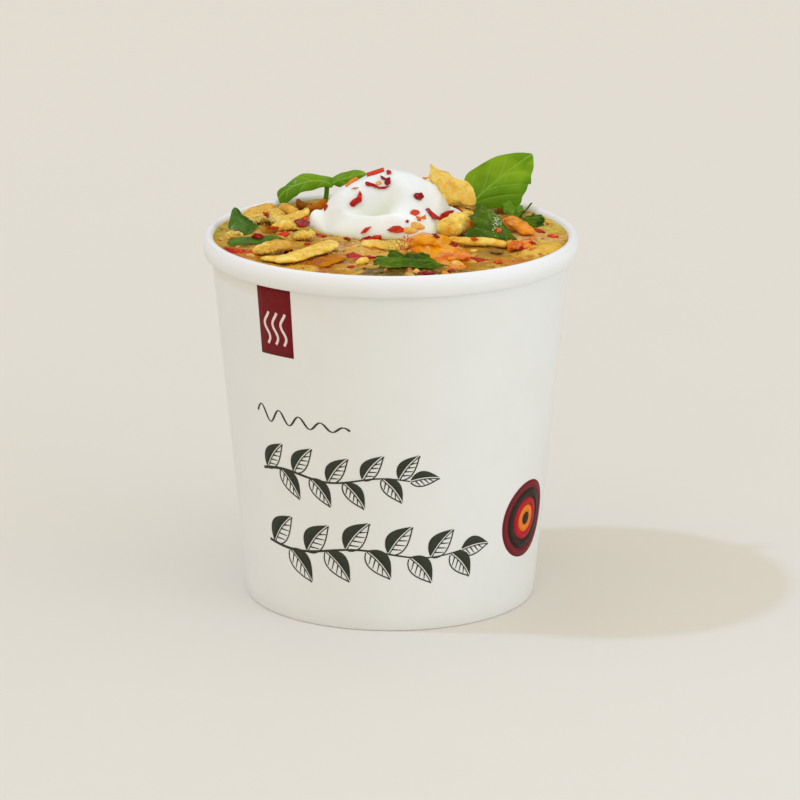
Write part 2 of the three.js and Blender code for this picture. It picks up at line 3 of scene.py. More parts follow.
import bmesh
import bpy
import numpy as np
from mathutils import Matrix, Vector, noise
from mathutils.bvhtree import BVHTree


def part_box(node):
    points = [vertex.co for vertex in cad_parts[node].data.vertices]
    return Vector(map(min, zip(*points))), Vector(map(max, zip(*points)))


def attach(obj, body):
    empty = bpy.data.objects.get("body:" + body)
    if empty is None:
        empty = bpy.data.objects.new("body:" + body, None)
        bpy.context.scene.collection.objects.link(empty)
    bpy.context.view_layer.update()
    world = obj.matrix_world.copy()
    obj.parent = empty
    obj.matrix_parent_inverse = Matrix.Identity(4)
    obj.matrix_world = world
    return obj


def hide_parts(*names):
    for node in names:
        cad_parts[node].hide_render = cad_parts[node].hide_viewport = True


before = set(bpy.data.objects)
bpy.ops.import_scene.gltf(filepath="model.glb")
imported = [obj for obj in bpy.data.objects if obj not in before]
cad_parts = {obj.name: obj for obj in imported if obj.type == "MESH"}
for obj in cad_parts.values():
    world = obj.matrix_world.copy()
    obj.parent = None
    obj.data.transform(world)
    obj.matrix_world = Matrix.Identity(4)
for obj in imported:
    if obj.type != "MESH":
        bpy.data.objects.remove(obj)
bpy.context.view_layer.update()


# The picture: a still life seen from a little above, through a long lens. The camera stands 1.2 m in
# front of the pot, and its place and angle are those from which the reference picture was taken.
MM = 0.001
SENSOR = 36.0
LENS = 209.36
CAMERA_PLACE = np.array([0.0, -1184.04, 382.60])
CAMERA_YAW = 0.0021
CAMERA_PITCH = 0.2726
CAMERA_ROLL = 0.0018

view_level = np.array([math.cos(CAMERA_YAW), -math.sin(CAMERA_YAW), 0.0])
view_ahead = np.array([
    math.sin(CAMERA_YAW) * math.cos(CAMERA_PITCH),
    math.cos(CAMERA_YAW) * math.cos(CAMERA_PITCH),
    -math.sin(CAMERA_PITCH),
])
view_upright = np.cross(view_level, view_ahead)
view_right = math.cos(CAMERA_ROLL) * view_level + math.sin(CAMERA_ROLL) * view_upright
view_up = math.cos(CAMERA_ROLL) * view_upright - math.sin(CAMERA_ROLL) * view_level

camera_data = bpy.data.cameras.new("camera")
camera_data.sensor_width = SENSOR
camera_data.lens = LENS
camera = bpy.data.objects.new("camera", camera_data)
camera_axes = np.eye(4)
camera_axes[:3, 0] = view_right
camera_axes[:3, 1] = view_up
camera_axes[:3, 2] = -view_ahead
camera_axes[:3, 3] = CAMERA_PLACE * MM
camera.matrix_world = Matrix(camera_axes.tolist())
scene = bpy.context.scene
scene.collection.objects.link(camera)
scene.camera = camera
scene.view_settings.view_transform = "Standard"


# The studio: a pale table top without an edge, a glow from all round that is warm low down, cooler above
# and dim low at the back, a cool lamp high on the left that throws the shadow, and a board on the right.
GLOW_LOW = (1.0, 0.905, 0.7, 1.0)
GLOW_HIGH = (1.0, 0.96, 0.86, 1.0)
GLOW_STRENGTH = 0.95
GLOW_BACK = 0.12
LAMP_DROP = np.array([59.0, 5.0, -97.0])
LAMP_STRENGTH = 0.6
LAMP_COLOUR = (0.45, 0.62, 1.0)
LAMP_SPREAD = 3.0
BOARD_PLACE = np.array([620.0, -420.0, 260.0])
BOARD_AIM = np.array([0, 0, 60])
BOARD_SIZE = 500.0
BOARD_POWER = 1.4
BOARD_COLOUR = (0.5, 0.72, 1.0)
TABLE_HALF = 6000.0


def paint(red, green, blue):
    """Linear colour from the 0 to 255 values of a screen."""
    values = np.array([red, green, blue]) / 255
    linear = np.where(values <= 0.04045, values / 12.92, ((values + 0.055) / 1.055) ** 2.4)
    return (*linear.tolist(), 1.0)


def add_node(tree, kind, sockets=None, **settings):
    """Node of a kind, with its settings, and its sockets filled or joined up."""
    made = tree.nodes.new(kind)
    for name, value in settings.items():
        setattr(made, name, value)
    for name, value in (sockets or {}).items():
        if isinstance(value, bpy.types.NodeSocket):
            tree.links.new(value, made.inputs[name])
        else:
            made.inputs[name].default_value = value
    return made


def grain(tree, place, scale, detail=3.0, rough=0.55, bend=0.0):
    """Noise from 0 to 1, with so many spots to the metre."""
    sockets = {"Vector": place, "Scale": scale, "Detail": detail, "Roughness": rough, "Distortion": bend}
    return add_node(tree, "ShaderNodeTexNoise", sockets).outputs["Fac"]


def ramped(tree, value, start, end, low=0.0, high=1.0):
    """Value that climbs smoothly from low at start to high at end."""
    sockets = {0: value, 1: start, 2: end, 3: low, 4: high}
    return add_node(tree, "ShaderNodeMapRange", sockets, interpolation_type="SMOOTHSTEP").outputs[0]


def worked(tree, operation, first, second=0.5):
    """Result of a sum on one or two values."""
    return add_node(tree, "ShaderNodeMath", {0: first, 1: second}, operation=operation).outputs[0]


def blended(tree, share, first, second):
    """First colour, with a share of the second mixed in."""
    return add_node(tree, "ShaderNodeMix", {0: share, 6: first, 7: second}, data_type="RGBA").outputs[2]


def along_axis(tree, place, axis):
    """Coordinate along one axis."""
    return add_node(tree, "ShaderNodeSeparateXYZ", {"Vector": place}).outputs[axis]


def shared_effect(name, inputs, outputs):
    """Empty shader node group, with its named inputs and outputs."""
    group = bpy.data.node_groups.new(name, "ShaderNodeTree")
    for way, sockets in (("INPUT", inputs), ("OUTPUT", outputs)):
        for label, kind in sockets.items():
            group.interface.new_socket(label, in_out=way, socket_type=kind)
    return group, group.nodes.new("NodeGroupInput").outputs, group.nodes.new("NodeGroupOutput").inputs


# Two colours in cloudy patches: the second shows where the noise is past the start, up to an amount.
cloudy, given, leaving = shared_effect("cloudy_patches", {
    "Place": "NodeSocketVector", "Scale": "NodeSocketFloat", "Bend": "NodeSocketFloat",
    "Start": "NodeSocketFloat", "End": "NodeSocketFloat", "Amount": "NodeSocketFloat",
    "First": "NodeSocketColor", "Second": "NodeSocketColor",
}, {"Colour": "NodeSocketColor"})
clouds = grain(cloudy, given["Place"], given["Scale"], 3.0, 0.58, given["Bend"])
cover = ramped(cloudy, clouds, given["Start"], given["End"], 0.0, given["Amount"])
cloudy.links.new(blended(cloudy, cover, given["First"], given["Second"]), leaving["Colour"])


def patched(tree, place, scale, start, end, first, second, amount=1.0, bend=0.0):
    """First colour with cloudy patches of the second."""
    sockets = {"Place": place, "Scale": scale, "Bend": bend, "Start": start, "End": end,
               "Amount": amount, "First": first, "Second": second}
    return add_node(tree, "ShaderNodeGroup", sockets, node_tree=cloudy).outputs["Colour"]


def new_finish(name, colour, specular=0.5, radius=None, **values):
    """Material with its tree, shader and coordinates; radius in millimetres is how deep light goes in."""
    finish = bpy.data.materials.new(name)
    finish.use_nodes = True
    tree = finish.node_tree
    shader = tree.nodes["Principled BSDF"]
    shader.inputs["Base Color"].default_value = colour
    shader.inputs["Specular IOR Level"].default_value = specular
    if radius:
        shader.inputs["Subsurface Radius"].default_value = radius
        shader.inputs["Subsurface Scale"].default_value = MM
    for socket, value in values.items():
        shader.inputs[socket.replace("_", " ").title()].default_value = value
    place = add_node(tree, "ShaderNodeTexCoord").outputs["Object"]
    return finish, tree, shader, place


table_finish, tree, shader, place = new_finish("cream_table", paint(227, 223, 216), specular=0.1,
                                                roughness=0.9)
table_tone = patched(tree, place, 9.0, 0.3, 0.7, paint(227, 223, 216), paint(228, 224, 217))
far_off = ramped(tree, along_axis(tree, place, "Y"), 0.0, 0.7)
table_tone = blended(tree, far_off, table_tone, paint(230, 226, 220))
tree.links.new(table_tone, shader.inputs["Base Color"])

table_mesh = bpy.data.meshes.new("table_top")
table_corners = np.array([(-1, -1, 0), (1, -1, 0), (1, 1, 0), (-1, 1, 0)]) * TABLE_HALF * MM
table_mesh.from_pydata(table_corners.tolist(), [], [(0, 1, 2, 3)])
table_mesh.materials.append(table_finish)
table_top = bpy.data.objects.new("table_top", table_mesh)
scene.collection.objects.link(table_top)

world = bpy.data.worlds.new("studio_glow")
scene.world = world
world.use_nodes = True
tree = world.node_tree
background = tree.nodes["Background"]
sky_way = add_node(tree, "ShaderNodeTexCoord").outputs["Generated"]
sky_height = along_axis(tree, sky_way, "Z")
glow = blended(tree, ramped(tree, sky_height, 0.3, 0.8), GLOW_LOW, GLOW_HIGH)
tree.links.new(glow, background.inputs["Color"])
at_back = ramped(tree, along_axis(tree, sky_way, "Y"), 0.1, 0.7)
dimmed = worked(tree, "MULTIPLY", at_back, ramped(tree, sky_height, 0.62, 0.3))
strength = ramped(tree, dimmed, 0.0, 1.0, GLOW_STRENGTH, GLOW_STRENGTH * GLOW_BACK)
tree.links.new(strength, background.inputs["Strength"])


def add_lamp(name, kind, place, aim, energy, **settings):
    """Light of a kind at a place in millimetres, shining along a direction."""
    lamp = bpy.data.lights.new(name, kind)
    lamp.energy = energy
    for setting, value in settings.items():
        setattr(lamp, setting, value)
    holder = bpy.data.objects.new(name, lamp)
    holder.location = Vector(place * MM)
    holder.rotation_euler = Vector(aim).to_track_quat("-Z", "Y").to_euler()
    scene.collection.objects.link(holder)


add_lamp("lamp_left", "SUN", -10 * LAMP_DROP, LAMP_DROP, LAMP_STRENGTH,
         color=LAMP_COLOUR, angle=math.radians(LAMP_SPREAD))
add_lamp("board_right", "AREA", BOARD_PLACE, BOARD_AIM - BOARD_PLACE, BOARD_POWER,
         color=BOARD_COLOUR, size=BOARD_SIZE * MM)


# The pot: white coated paper board, wrapped into a tapered wall with a lapped seam at the back. The rim
# is rolled outwards, and the foot is rolled in over the edge of the base disc.
RIM_RADIUS = 49.0
RIM_CREST_RADIUS = 47.85
RIM_INNER_RADIUS = 46.2
RIM_DEPTH = 5.8
RIM_SQUARENESS = 0.8
RIM_ROLL = (-110, 165)
POT_HEIGHT = 97.3
WALL_TOP_RADIUS = 46.85
WALL_TOP = POT_HEIGHT - RIM_DEPTH
FOOT_RADIUS = 38.2
WALL_THICKNESS = 0.6
FOOT_SKIRT_THICKNESS = 1.3
FOOT_ROUND = 0.4
FOOT_BEND = 0.5
BASE_RECESS = 7.0
BASE_THICKNESS = 0.7
SEAM_TURN = 90.0
SEAM_WIDTH = 9.0
SEAM_LIFT = 0.35
POT_STEPS = 288
WELD_DISTANCE = 0.001


def wall_radius(height):
    """Radius of the tapered wall's outer side at a height."""
    return FOOT_RADIUS + (WALL_TOP_RADIUS - FOOT_RADIUS) * height / WALL_TOP


def rim_profile(count=26):
    """Rolled rim in section, from under its outer side over the top to the pot's inside."""
    angles = np.radians(np.linspace(*RIM_ROLL, count))
    bent = np.sign(np.cos(angles)) * np.abs(np.cos(angles)) ** RIM_SQUARENESS
    risen = np.sign(np.sin(angles)) * np.abs(np.sin(angles)) ** RIM_SQUARENESS
    half = np.where(bent > 0, RIM_RADIUS - RIM_CREST_RADIUS, RIM_CREST_RADIUS - RIM_INNER_RADIUS)
    radii = RIM_CREST_RADIUS + half * bent
    return list(zip(radii, POT_HEIGHT - RIM_DEPTH / 2 + RIM_DEPTH / 2 * risen))


def turns_of(steps):
    """Even turns once round, in radians."""
    return np.arange(steps) * 2 * np.pi / steps


def ring_numbers(rings, steps, first=0):
    """Numbers of the points in rings, and of the point after each round its ring."""
    numbers = first + np.arange(rings)[:, None] * steps + np.arange(steps)[None, :]
    return numbers, np.roll(numbers, -1, axis=1)


def ring_quads(numbers, after):
    """Faces between each ring and the next."""
    corners = [numbers[:-1], after[:-1], after[1:], numbers[1:]]
    return np.stack(corners, axis=-1).reshape(-1, 4).tolist()


def turned_body(profile, steps, lift):
    """Closed body turned from a profile of (radius, height) that starts and ends on the axis."""
    turns = turns_of(steps)
    radii, heights = np.array(profile[1:-1]).T
    radius = radii[:, None] + lift(turns[None, :], heights[:, None])
    rings = np.stack([radius * np.cos(turns), radius * np.sin(turns), heights[:, None] + 0 * radius], axis=-1)
    points = np.vstack([[[0, 0, profile[0][1]]], rings.reshape(-1, 3), [[0, 0, profile[-1][1]]]])
    numbers, after = ring_numbers(len(radii), steps, 1)
    faces = ring_quads(numbers, after)
    last = len(points) - 1
    faces += [[0, b, a] for a, b in zip(numbers[0].tolist(), after[0].tolist())]
    faces += [[last, a, b] for a, b in zip(numbers[-1].tolist(), after[-1].tolist())]
    return points, faces


def make_piece(name, points, faces, finish, nodes=(), fields=None, crease=45.0):
    """Piece from points in millimetres, smooth but for its creases, riding on the pot."""
    mesh = bpy.data.meshes.new(name)
    mesh.from_pydata((np.asarray(points) * MM).tolist(), [], faces)
    for label, values in (fields or {}).items():
        mesh.attributes.new(label, "FLOAT", "POINT").data.foreach_set("value", np.asarray(values, np.float32))
    worked_mesh = bmesh.new()
    worked_mesh.from_mesh(mesh)
    bmesh.ops.remove_doubles(worked_mesh, verts=worked_mesh.verts, dist=WELD_DISTANCE * MM)
    bmesh.ops.recalc_face_normals(worked_mesh, faces=worked_mesh.faces)
    worked_mesh.to_mesh(mesh)
    worked_mesh.free()
    return finish_piece(bpy.data.objects.new(name, mesh), finish, nodes, crease)


def finish_piece(piece, finish, nodes=(), crease=45.0):
    """Smooth shading, material and place in the object for a piece whose mesh is done."""
    scene.collection.objects.link(piece)
    piece.data.shade_smooth()
    piece.data.set_sharp_from_angle(angle=math.radians(crease))
    piece.data.materials.clear()
    piece.data.materials.append(finish)
    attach(piece, "root")
    if nodes:
        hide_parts(*nodes)
    return piece


def seam_lift(turns, heights):
    """Extra radius where the wall laps over itself, on the outer wall alone."""
    away = (np.degrees(turns) - SEAM_TURN) * math.pi / 180 * FOOT_RADIUS
    lapped = (np.abs(away) < SEAM_WIDTH / 2) & (heights > FOOT_ROUND) & (heights < WALL_TOP - 0.1)
    return SEAM_LIFT * lapped


def set_bump(tree, shader, height, distance, strength=1.0):
    """Relief in the shading, as deep as a distance in millimetres."""
    sockets = {"Height": height, "Distance": distance * MM, "Strength": strength}
    made = add_node(tree, "ShaderNodeBump", sockets)
    tree.links.new(made.outputs["Normal"], shader.inputs["Normal"])


wall_heights = np.linspace(FOOT_ROUND, WALL_TOP - 0.05, 24)
skirt_inside = FOOT_RADIUS - FOOT_SKIRT_THICKNESS
recess_radius = wall_radius(BASE_RECESS) - FOOT_SKIRT_THICKNESS
outer_profile = [
    (0, BASE_RECESS),
    (recess_radius - FOOT_ROUND, BASE_RECESS),
    (recess_radius, BASE_RECESS - FOOT_ROUND),
    (skirt_inside, FOOT_BEND),
    (skirt_inside + 0.4 * FOOT_BEND, 0.2 * FOOT_BEND),
    (skirt_inside + FOOT_BEND, 0),
    (FOOT_RADIUS - FOOT_BEND, 0),
    (FOOT_RADIUS - 0.24 * FOOT_BEND, 0.24 * FOOT_BEND),
] + [(wall_radius(height), height) for height in wall_heights]
inner_profile = [
    (wall_radius(WALL_TOP) - WALL_THICKNESS, WALL_TOP),
    (wall_radius(BASE_RECESS + BASE_THICKNESS) - WALL_THICKNESS, BASE_RECESS + BASE_THICKNESS),
    (0, BASE_RECESS + BASE_THICKNESS),
]

paper_finish, tree, shader, place = new_finish("coated_paper", paint(232, 232, 231), specular=0.35,
                                               roughness=0.42)
fibre = grain(tree, place, 900.0, 4.0, 0.6)
paper_tone = patched(tree, place, 60.0, 0.35, 0.65, paint(231, 231, 230), paint(233, 233, 232))
# Painted highlight: the paper is whiter on the rolled rim, where the light falls strongly from above.
painted_rim_highlight = ramped(tree, along_axis(tree, place, "Z"), (WALL_TOP + 1.5) * MM, (WALL_TOP + 4.5) * MM)
tree.links.new(blended(tree, painted_rim_highlight, paper_tone, paint(241, 242, 247)), shader.inputs["Base Color"])
tree.links.new(ramped(tree, fibre, 0.3, 0.7, 0.38, 0.48), shader.inputs["Roughness"])
set_bump(tree, shader, fibre, 0.012, 0.35)

points, faces = turned_body(outer_profile + rim_profile() + inner_profile, POT_STEPS, seam_lift)
make_piece("paper_pot", points, faces, paper_finish, ["cup"], crease=50)


# The print: thin ink on the wall. Two sprigs of half hatched leaves and a swash in charcoal, a burgundy
# tag with three waves of steam that hangs from the rim, and a round badge of coloured rings.
INK_THICKNESS = 0.04


class Ink:
    """Shapes of one ink colour, gathered into one mesh of bands on the wall."""

    def __init__(self, level, height=0.05):
        self.level = level
        self.height = height
        self.points = []
        self.faces = []

    def on_wall(self, spots):
        """Points on the wall from (distance round it from the front, height), measured at one level."""
        around, height = np.asarray(spots, float).T
        turn = around / wall_radius(self.level)
        radius = wall_radius(height) + self.height
        return np.stack([radius * np.sin(turn), -radius * np.cos(turn), height], axis=-1)

    def band(self, first, second, closed=False):
        """Band between two lines of as many spots each."""
        start = len(self.points)
        count = len(first)
        self.points += self.on_wall(first).tolist() + self.on_wall(second).tolist()
        for k in range(count if closed else count - 1):
            after = (k + 1) % count
            self.faces.append([start + k, start + after, start + count + after, start + count + k])

    def stroke(self, spots, width):
        """Line of ink with a width, or with one width for each spot."""
        line = np.asarray(spots, float)
        along = np.gradient(line, axis=0)
        across = np.stack([-along[:, 1], along[:, 0]], axis=-1)
        across /= np.linalg.norm(across, axis=1, keepdims=True)
        half = np.broadcast_to(width, len(line))[:, None] / 2
        self.band(line - across * half, line + across * half)

    def ring(self, centre, inner, outer, steps=64):
        """Flat ring round a centre."""
        circle = np.stack([np.cos(turns_of(steps)), np.sin(turns_of(steps))], axis=-1)
        self.band(np.array(centre) + inner * circle, np.array(centre) + outer * circle, closed=True)

    def piece(self, name, colour):
        """The gathered shapes as one thin piece, with its ink."""
        ink, tree, shader, place = new_finish(name, colour, specular=0.15, roughness=0.5)
        lighter = tuple(0.92 * value + 0.006 for value in colour[:3]) + (1.0,)
        tree.links.new(patched(tree, place, 700.0, 0.35, 0.7, colour, lighter), shader.inputs["Base Color"])
        made = make_piece(name, self.points, self.faces, ink)
        thick = made.modifiers.new("ink", "SOLIDIFY")
        thick.thickness = INK_THICKNESS * MM
        thick.offset = 0
        return made


def inked_leaf(ink, base, angle, long, wide, count=14, rib=0.22):
    """Leaf with one half filled and the other hatched, leaving the midrib bare."""
    ahead = np.array([math.cos(angle), math.sin(angle)])
    aside = np.array([-ahead[1], ahead[0]])
    part = np.linspace(0.02, 1, count)
    swell = wide / 2 * np.sin(np.pi * part ** 0.75) ** 0.9
    bow = 0.06 * long * np.sin(np.pi * part)
    middle = np.array(base) + part[:, None] * long * ahead + bow[:, None] * aside
    ink.band(middle + rib * aside, middle + np.maximum(swell, rib)[:, None] * aside)
    ink.stroke(middle - np.maximum(swell, rib)[:, None] * aside, 0.34)
    ink.stroke(middle - rib * aside, 0.26)
    for vein in range(3, count - 3, 2):
        start = middle[vein - 1] - rib * aside
        end = middle[vein + 1] - 0.86 * swell[vein + 1] * aside
        ink.stroke(np.linspace(start, end, 5), np.linspace(0.42, 0.16, 5))


def inked_sprig(ink, start, end, sway, leaves, long, wide, lean, count=60):
    """Wavy stem from start to end, with leaves on alternate sides."""
    part = np.linspace(0, 1, count)
    stem = np.array(start) + part[:, None] * (np.array(end) - np.array(start))
    stem[:, 1] += sway * np.sin(3 * np.pi * part)
    ink.stroke(stem, np.linspace(0.75, 0.3, count))
    for k in range(leaves):
        spot = stem[int(count * (k + 0.35) / leaves)]
        side = 1 if k % 2 == 0 else -1
        shrink = 1 - 0.16 * k / leaves
        inked_leaf(ink, spot, side * math.radians(lean), long * shrink, wide * shrink)
    inked_leaf(ink, stem[-1], math.radians(4), 0.8 * long, 0.8 * wide)


SPRIGS_LEVEL = 36.0
TAG_LEVEL = 82.0
TAG_LEFT, TAG_RIGHT, TAG_FOOT, TAG_TOP = -37.6, -26.6, 73.0, 91.3
STEAM_COLUMNS = (-34.8, -32.1, -29.4)
STEAM_FOOT, STEAM_RISE = 76.0, 8.6
SWASH_WAVES = 9

charcoal = Ink(SPRIGS_LEVEL)
inked_sprig(charcoal, (-37.0, 41.0), (5.0, 41.6), sway=0.9, leaves=9, long=9.6, wide=5.2, lean=52)
inked_sprig(charcoal, (-37.0, 21.2), (19.6, 21.4), sway=-1.1, leaves=10, long=10.8, wide=6.6, lean=50)
swash_part = np.linspace(0, 1, 70)
swash = np.stack([
    -37.5 + 27.5 * swash_part,
    56.6 - 1.6 * swash_part + 2.2 * np.sin(SWASH_WAVES * np.pi * swash_part) * (1 - 0.7 * swash_part),
], axis=-1)
charcoal.stroke(swash, 0.22 + 0.32 * np.abs(np.cos(SWASH_WAVES * np.pi * swash_part)))
charcoal.piece("print_charcoal", paint(54, 58, 46))

tag = Ink(TAG_LEVEL)
tag_levels = np.linspace(TAG_FOOT, TAG_TOP, 8)
tag_columns = np.linspace(TAG_LEFT, TAG_RIGHT, 7)
for left, right in zip(tag_columns[:-1], tag_columns[1:]):
    tag.band([(left, z) for z in tag_levels], [(right, z) for z in tag_levels])
tag.piece("print_tag", paint(116, 12, 20))

steam = Ink(TAG_LEVEL, height=0.11)
for column in STEAM_COLUMNS:
    rise = np.linspace(0, 1, 30)
    wave = np.stack([column + 0.8 * np.sin(2.4 * np.pi * rise), STEAM_FOOT + STEAM_RISE * rise], axis=-1)
    steam.stroke(wave, 0.75)
steam.piece("print_steam", paint(238, 222, 216))

BADGE_CENTRE = (42.8, 25.2)
BADGE_RINGS = {
    "print_badge_burgundy": ((8.2, 10.4), paint(118, 16, 30)),
    "print_badge_brown": ((5.6, 8.2), paint(44, 26, 20)),
    "print_badge_red": ((3.6, 5.6), paint(186, 2, 28)),
    "print_badge_orange": ((1.7, 3.6), paint(240, 126, 20)),
    "print_badge_middle": ((0.02, 1.7), paint(44, 26, 20)),
}
for name, ((inner, outer), colour) in BADGE_RINGS.items():
    badge = Ink(BADGE_CENTRE[1])
    badge.ring(BADGE_CENTRE, inner, outer)
    badge.piece(name, colour)


# The soup: a thick vegetable broth up to a millimetre below the rim. Its skin is creamy gold with amber
# and olive patches, a film of yellow oil by the wall, and soft chunks that swell it from underneath.
SOUP_LEVEL = 96.1
SOUP_SWELL = 0.35
GAP = 0.3
SOUP_CLEARANCE = 0.02
SOUP_STEPS = 320
SOUP_RELIEF = 0.45
MENISCUS = 0.15
MENISCUS_WIDTH = 2.4
CREEP_LIFT = 0.1
CREEP_POWER = 40
FILM_ROUGHNESS = 0.08

# Zones of the skin: centre, reach across and along, colour, share of that colour, and rise over the rest.
SOUP_ZONES = {
    "broth_left": ((-40, 4), (8, 11), paint(204, 168, 80), 0.8, 0.2),
    "broth_left_front": ((-30, -8), (9, 8), paint(190, 146, 41), 0.7, 0.3),
    "rust_left": ((-38, -20), (7, 5), paint(186, 90, 28), 0.6, 0.3),
    # Darker amber below the long crisp: a chunk in the soup, with the crisp's shadow painted on it.
    "amber_chunk_and_plank_shadow": ((-17, -31), (7.5, 9), paint(166, 82, 0), 0.95, 0.7),
    "amber_plank": ((-24, -36.5), (6, 3.4), paint(220, 164, 39), 0.8, 0.5),
    "cream_front": ((-8, -35), (8, 6), paint(198, 150, 56), 0.8, 0.5),
    "cream_middle": ((-4, -16), (9, 10), paint(212, 162, 70), 0.9, 0.9),
    # Dark olive under the front coriander: the leaf sunk in the soup, with its painted shadow and reflection.
    "sunk_leaf_and_shadow_front": ((5, -38.5), (14, 5.0), paint(84, 66, 2), 0.95, -0.2),
    "broth_right": ((23, -24), (9, 7), paint(176, 134, 34), 0.8, 0.1),
    "plum": ((27, -19), (6, 3), paint(150, 104, 48), 0.8, 0.3),
    "rust_right": ((30, -28), (7, 4), paint(206, 118, 41), 0.7, 0.3),
    "pale_chunk": ((39.5, -14), (7, 10), paint(230, 184, 66), 0.95, 1.2),
    "cream_right": ((38, -2), (9, 10), paint(228, 186, 116), 0.95, 0.2),
    "oil_right": ((42, 14), (7, 14), paint(212, 188, 70), 0.85, 0.0),
    "oil_left": ((-46, 8), (3.6, 13), paint(172, 158, 30), 0.85, 0.0),
    "oil_back_left": ((-26, 36), (20, 9), paint(172, 144, 20), 0.85, 0.0),
    "oil_back": ((8, 43), (24, 6), paint(172, 144, 23), 0.7, 0.0),
}


def soup_top(x, y):
    """Calm surface of the soup, as the toppings are laid on it."""
    calm = np.maximum(0, 1 - np.hypot(x, y) / WALL_TOP_RADIUS)
    broad = np.sin(0.21 * x + 1.1) * np.cos(0.17 * y - 0.4)
    slanted = 0.5 * np.sin(0.4 * x - 0.31 * y)
    return SOUP_LEVEL + SOUP_SWELL * (broad + slanted) * np.minimum(1, 3 * calm)


def roughened(points, size, seed, depth=3):
    """Smooth noise between about -1 and 1 at points, with bumps of a size in millimetres."""
    shift = Vector((seed * 7.31, seed * 3.17, seed * 5.73))
    return np.array([noise.fractal(Vector(p) / size + shift, 0.8, 2.0, depth) for p in points.tolist()])


def body_over_outline(place, steps, upper_parts, lower_parts):
    """Closed body between two faces over one outline: place(side, part, turn) gives the points."""
    points, faces, edges, count = [], [], [], 0
    for side, parts in ((1, upper_parts), (-1, lower_parts)):
        points.append(place(side, np.zeros(1), np.zeros(1)))
        part, turn = np.meshgrid(parts, turns_of(steps), indexing="ij")
        points.append(place(side, part.ravel(), turn.ravel()))
        numbers, after = ring_numbers(len(parts), steps, count + 1)
        faces += [[count, a, b][::side] for a, b in zip(numbers[0].tolist(), after[0].tolist())]
        quads = np.stack([numbers[:-1], numbers[1:], after[1:], after[:-1]], axis=-1).reshape(-1, 4)
        faces += quads[:, ::side].tolist()
        edges.append(numbers[-1])
        count += 1 + len(parts) * steps
    upper, lower = edges
    faces += np.stack([upper, lower, np.roll(lower, -1), np.roll(upper, -1)], axis=-1).tolist()
    return np.vstack(points), faces


def flat_spots(x, y):
    """Points at height 0."""
    return np.stack([x, y, 0 * x], axis=-1)


def soup_skin(x, y):
    """Uneven surface of the soup as it is seen, with its chunks and the rise along the wall."""
    flat = flat_spots(x, y)
    chunks = 0.7 * roughened(flat, 3.6, 3, 2) + 0.3 * roughened(flat, 1.1, 5, 2)
    rise = 0 * x
    for centre, reach, _, _, lift in SOUP_ZONES.values():
        away = ((x - centre[0]) / reach[0]) ** 2 + ((y - centre[1]) / reach[1]) ** 2
        rise = rise + lift * np.clip(1 - away, 0, 1) ** 0.7
    beside = wall_radius(SOUP_LEVEL) - WALL_THICKNESS - np.hypot(x, y)
    edge = np.clip(1 - beside / MENISCUS_WIDTH, 0, 1) ** 2
    return soup_top(x, y) + (SOUP_RELIEF * chunks + rise) * (1 - edge) + MENISCUS * edge


def rim_inside(height):
    """Radius of the rolled rim's inner side at a height in its upper half."""
    risen = (height - POT_HEIGHT + RIM_DEPTH / 2) / (RIM_DEPTH / 2)
    power = 2 / RIM_SQUARENESS
    return RIM_CREST_RADIUS - (RIM_CREST_RADIUS - RIM_INNER_RADIUS) * (1 - risen ** power) ** (1 / power)


def soup_place(side, part, turn):
    """Points of the soup's skin, which creeps up to the rim at its edge, or of its flat bottom."""
    bottom = BASE_RECESS + BASE_THICKNESS + GAP
    level = SOUP_LEVEL if side > 0 else bottom
    wall = wall_radius(level) - WALL_THICKNESS - SOUP_CLEARANCE
    x, y = part * wall * np.cos(turn), part * wall * np.sin(turn)
    if side < 0:
        return flat_spots(x, y) + [0, 0, bottom]
    rim = rim_inside(SOUP_LEVEL + MENISCUS + CREEP_LIFT) - SOUP_CLEARANCE
    creep = 1 + (rim - wall) / wall * part ** CREEP_POWER
    return np.stack([x * creep, y * creep, soup_skin(x, y)], axis=-1)


# A zone: 1 round a centre, and 0 past the reach, both along X and Y, with a ragged edge.
zone, given, leaving = shared_effect("surface_zone", {
    "Place": "NodeSocketVector", "Centre": "NodeSocketVector", "Reach": "NodeSocketVector",
    "Share": "NodeSocketFloat", "Under": "NodeSocketColor", "Over": "NodeSocketColor",
}, {"Colour": "NodeSocketColor"})
ragged = grain(zone, given["Place"], 330.0, 3.0, 0.6)
away = add_node(zone, "ShaderNodeVectorMath", {0: given["Place"], 1: given["Centre"]}, operation="SUBTRACT")
sized = add_node(zone, "ShaderNodeVectorMath", {0: away.outputs[0], 1: given["Reach"]}, operation="DIVIDE")
level = add_node(zone, "ShaderNodeVectorMath", {0: sized.outputs[0], 1: (1, 1, 0)}, operation="MULTIPLY")
length = add_node(zone, "ShaderNodeVectorMath", {0: level.outputs[0]}, operation="LENGTH").outputs["Value"]
uneven = worked(zone, "ADD", length, ramped(zone, ragged, 0.25, 0.75, 0.35, -0.35))
covered = worked(zone, "MULTIPLY", ramped(zone, uneven, 1.05, 0.7), given["Share"])
zone.links.new(blended(zone, covered, given["Under"], given["Over"]), leaving["Colour"])


def zoned(tree, place, under, centre, reach, over, share):
    """Colour with another in a zone round a centre, all in millimetres."""
    sockets = {"Place": place, "Centre": (centre[0] * MM, centre[1] * MM, 0),
               "Reach": (reach[0] * MM, reach[1] * MM, 1), "Share": share, "Under": under, "Over": over}
    return add_node(tree, "ShaderNodeGroup", sockets, node_tree=zone).outputs["Colour"]


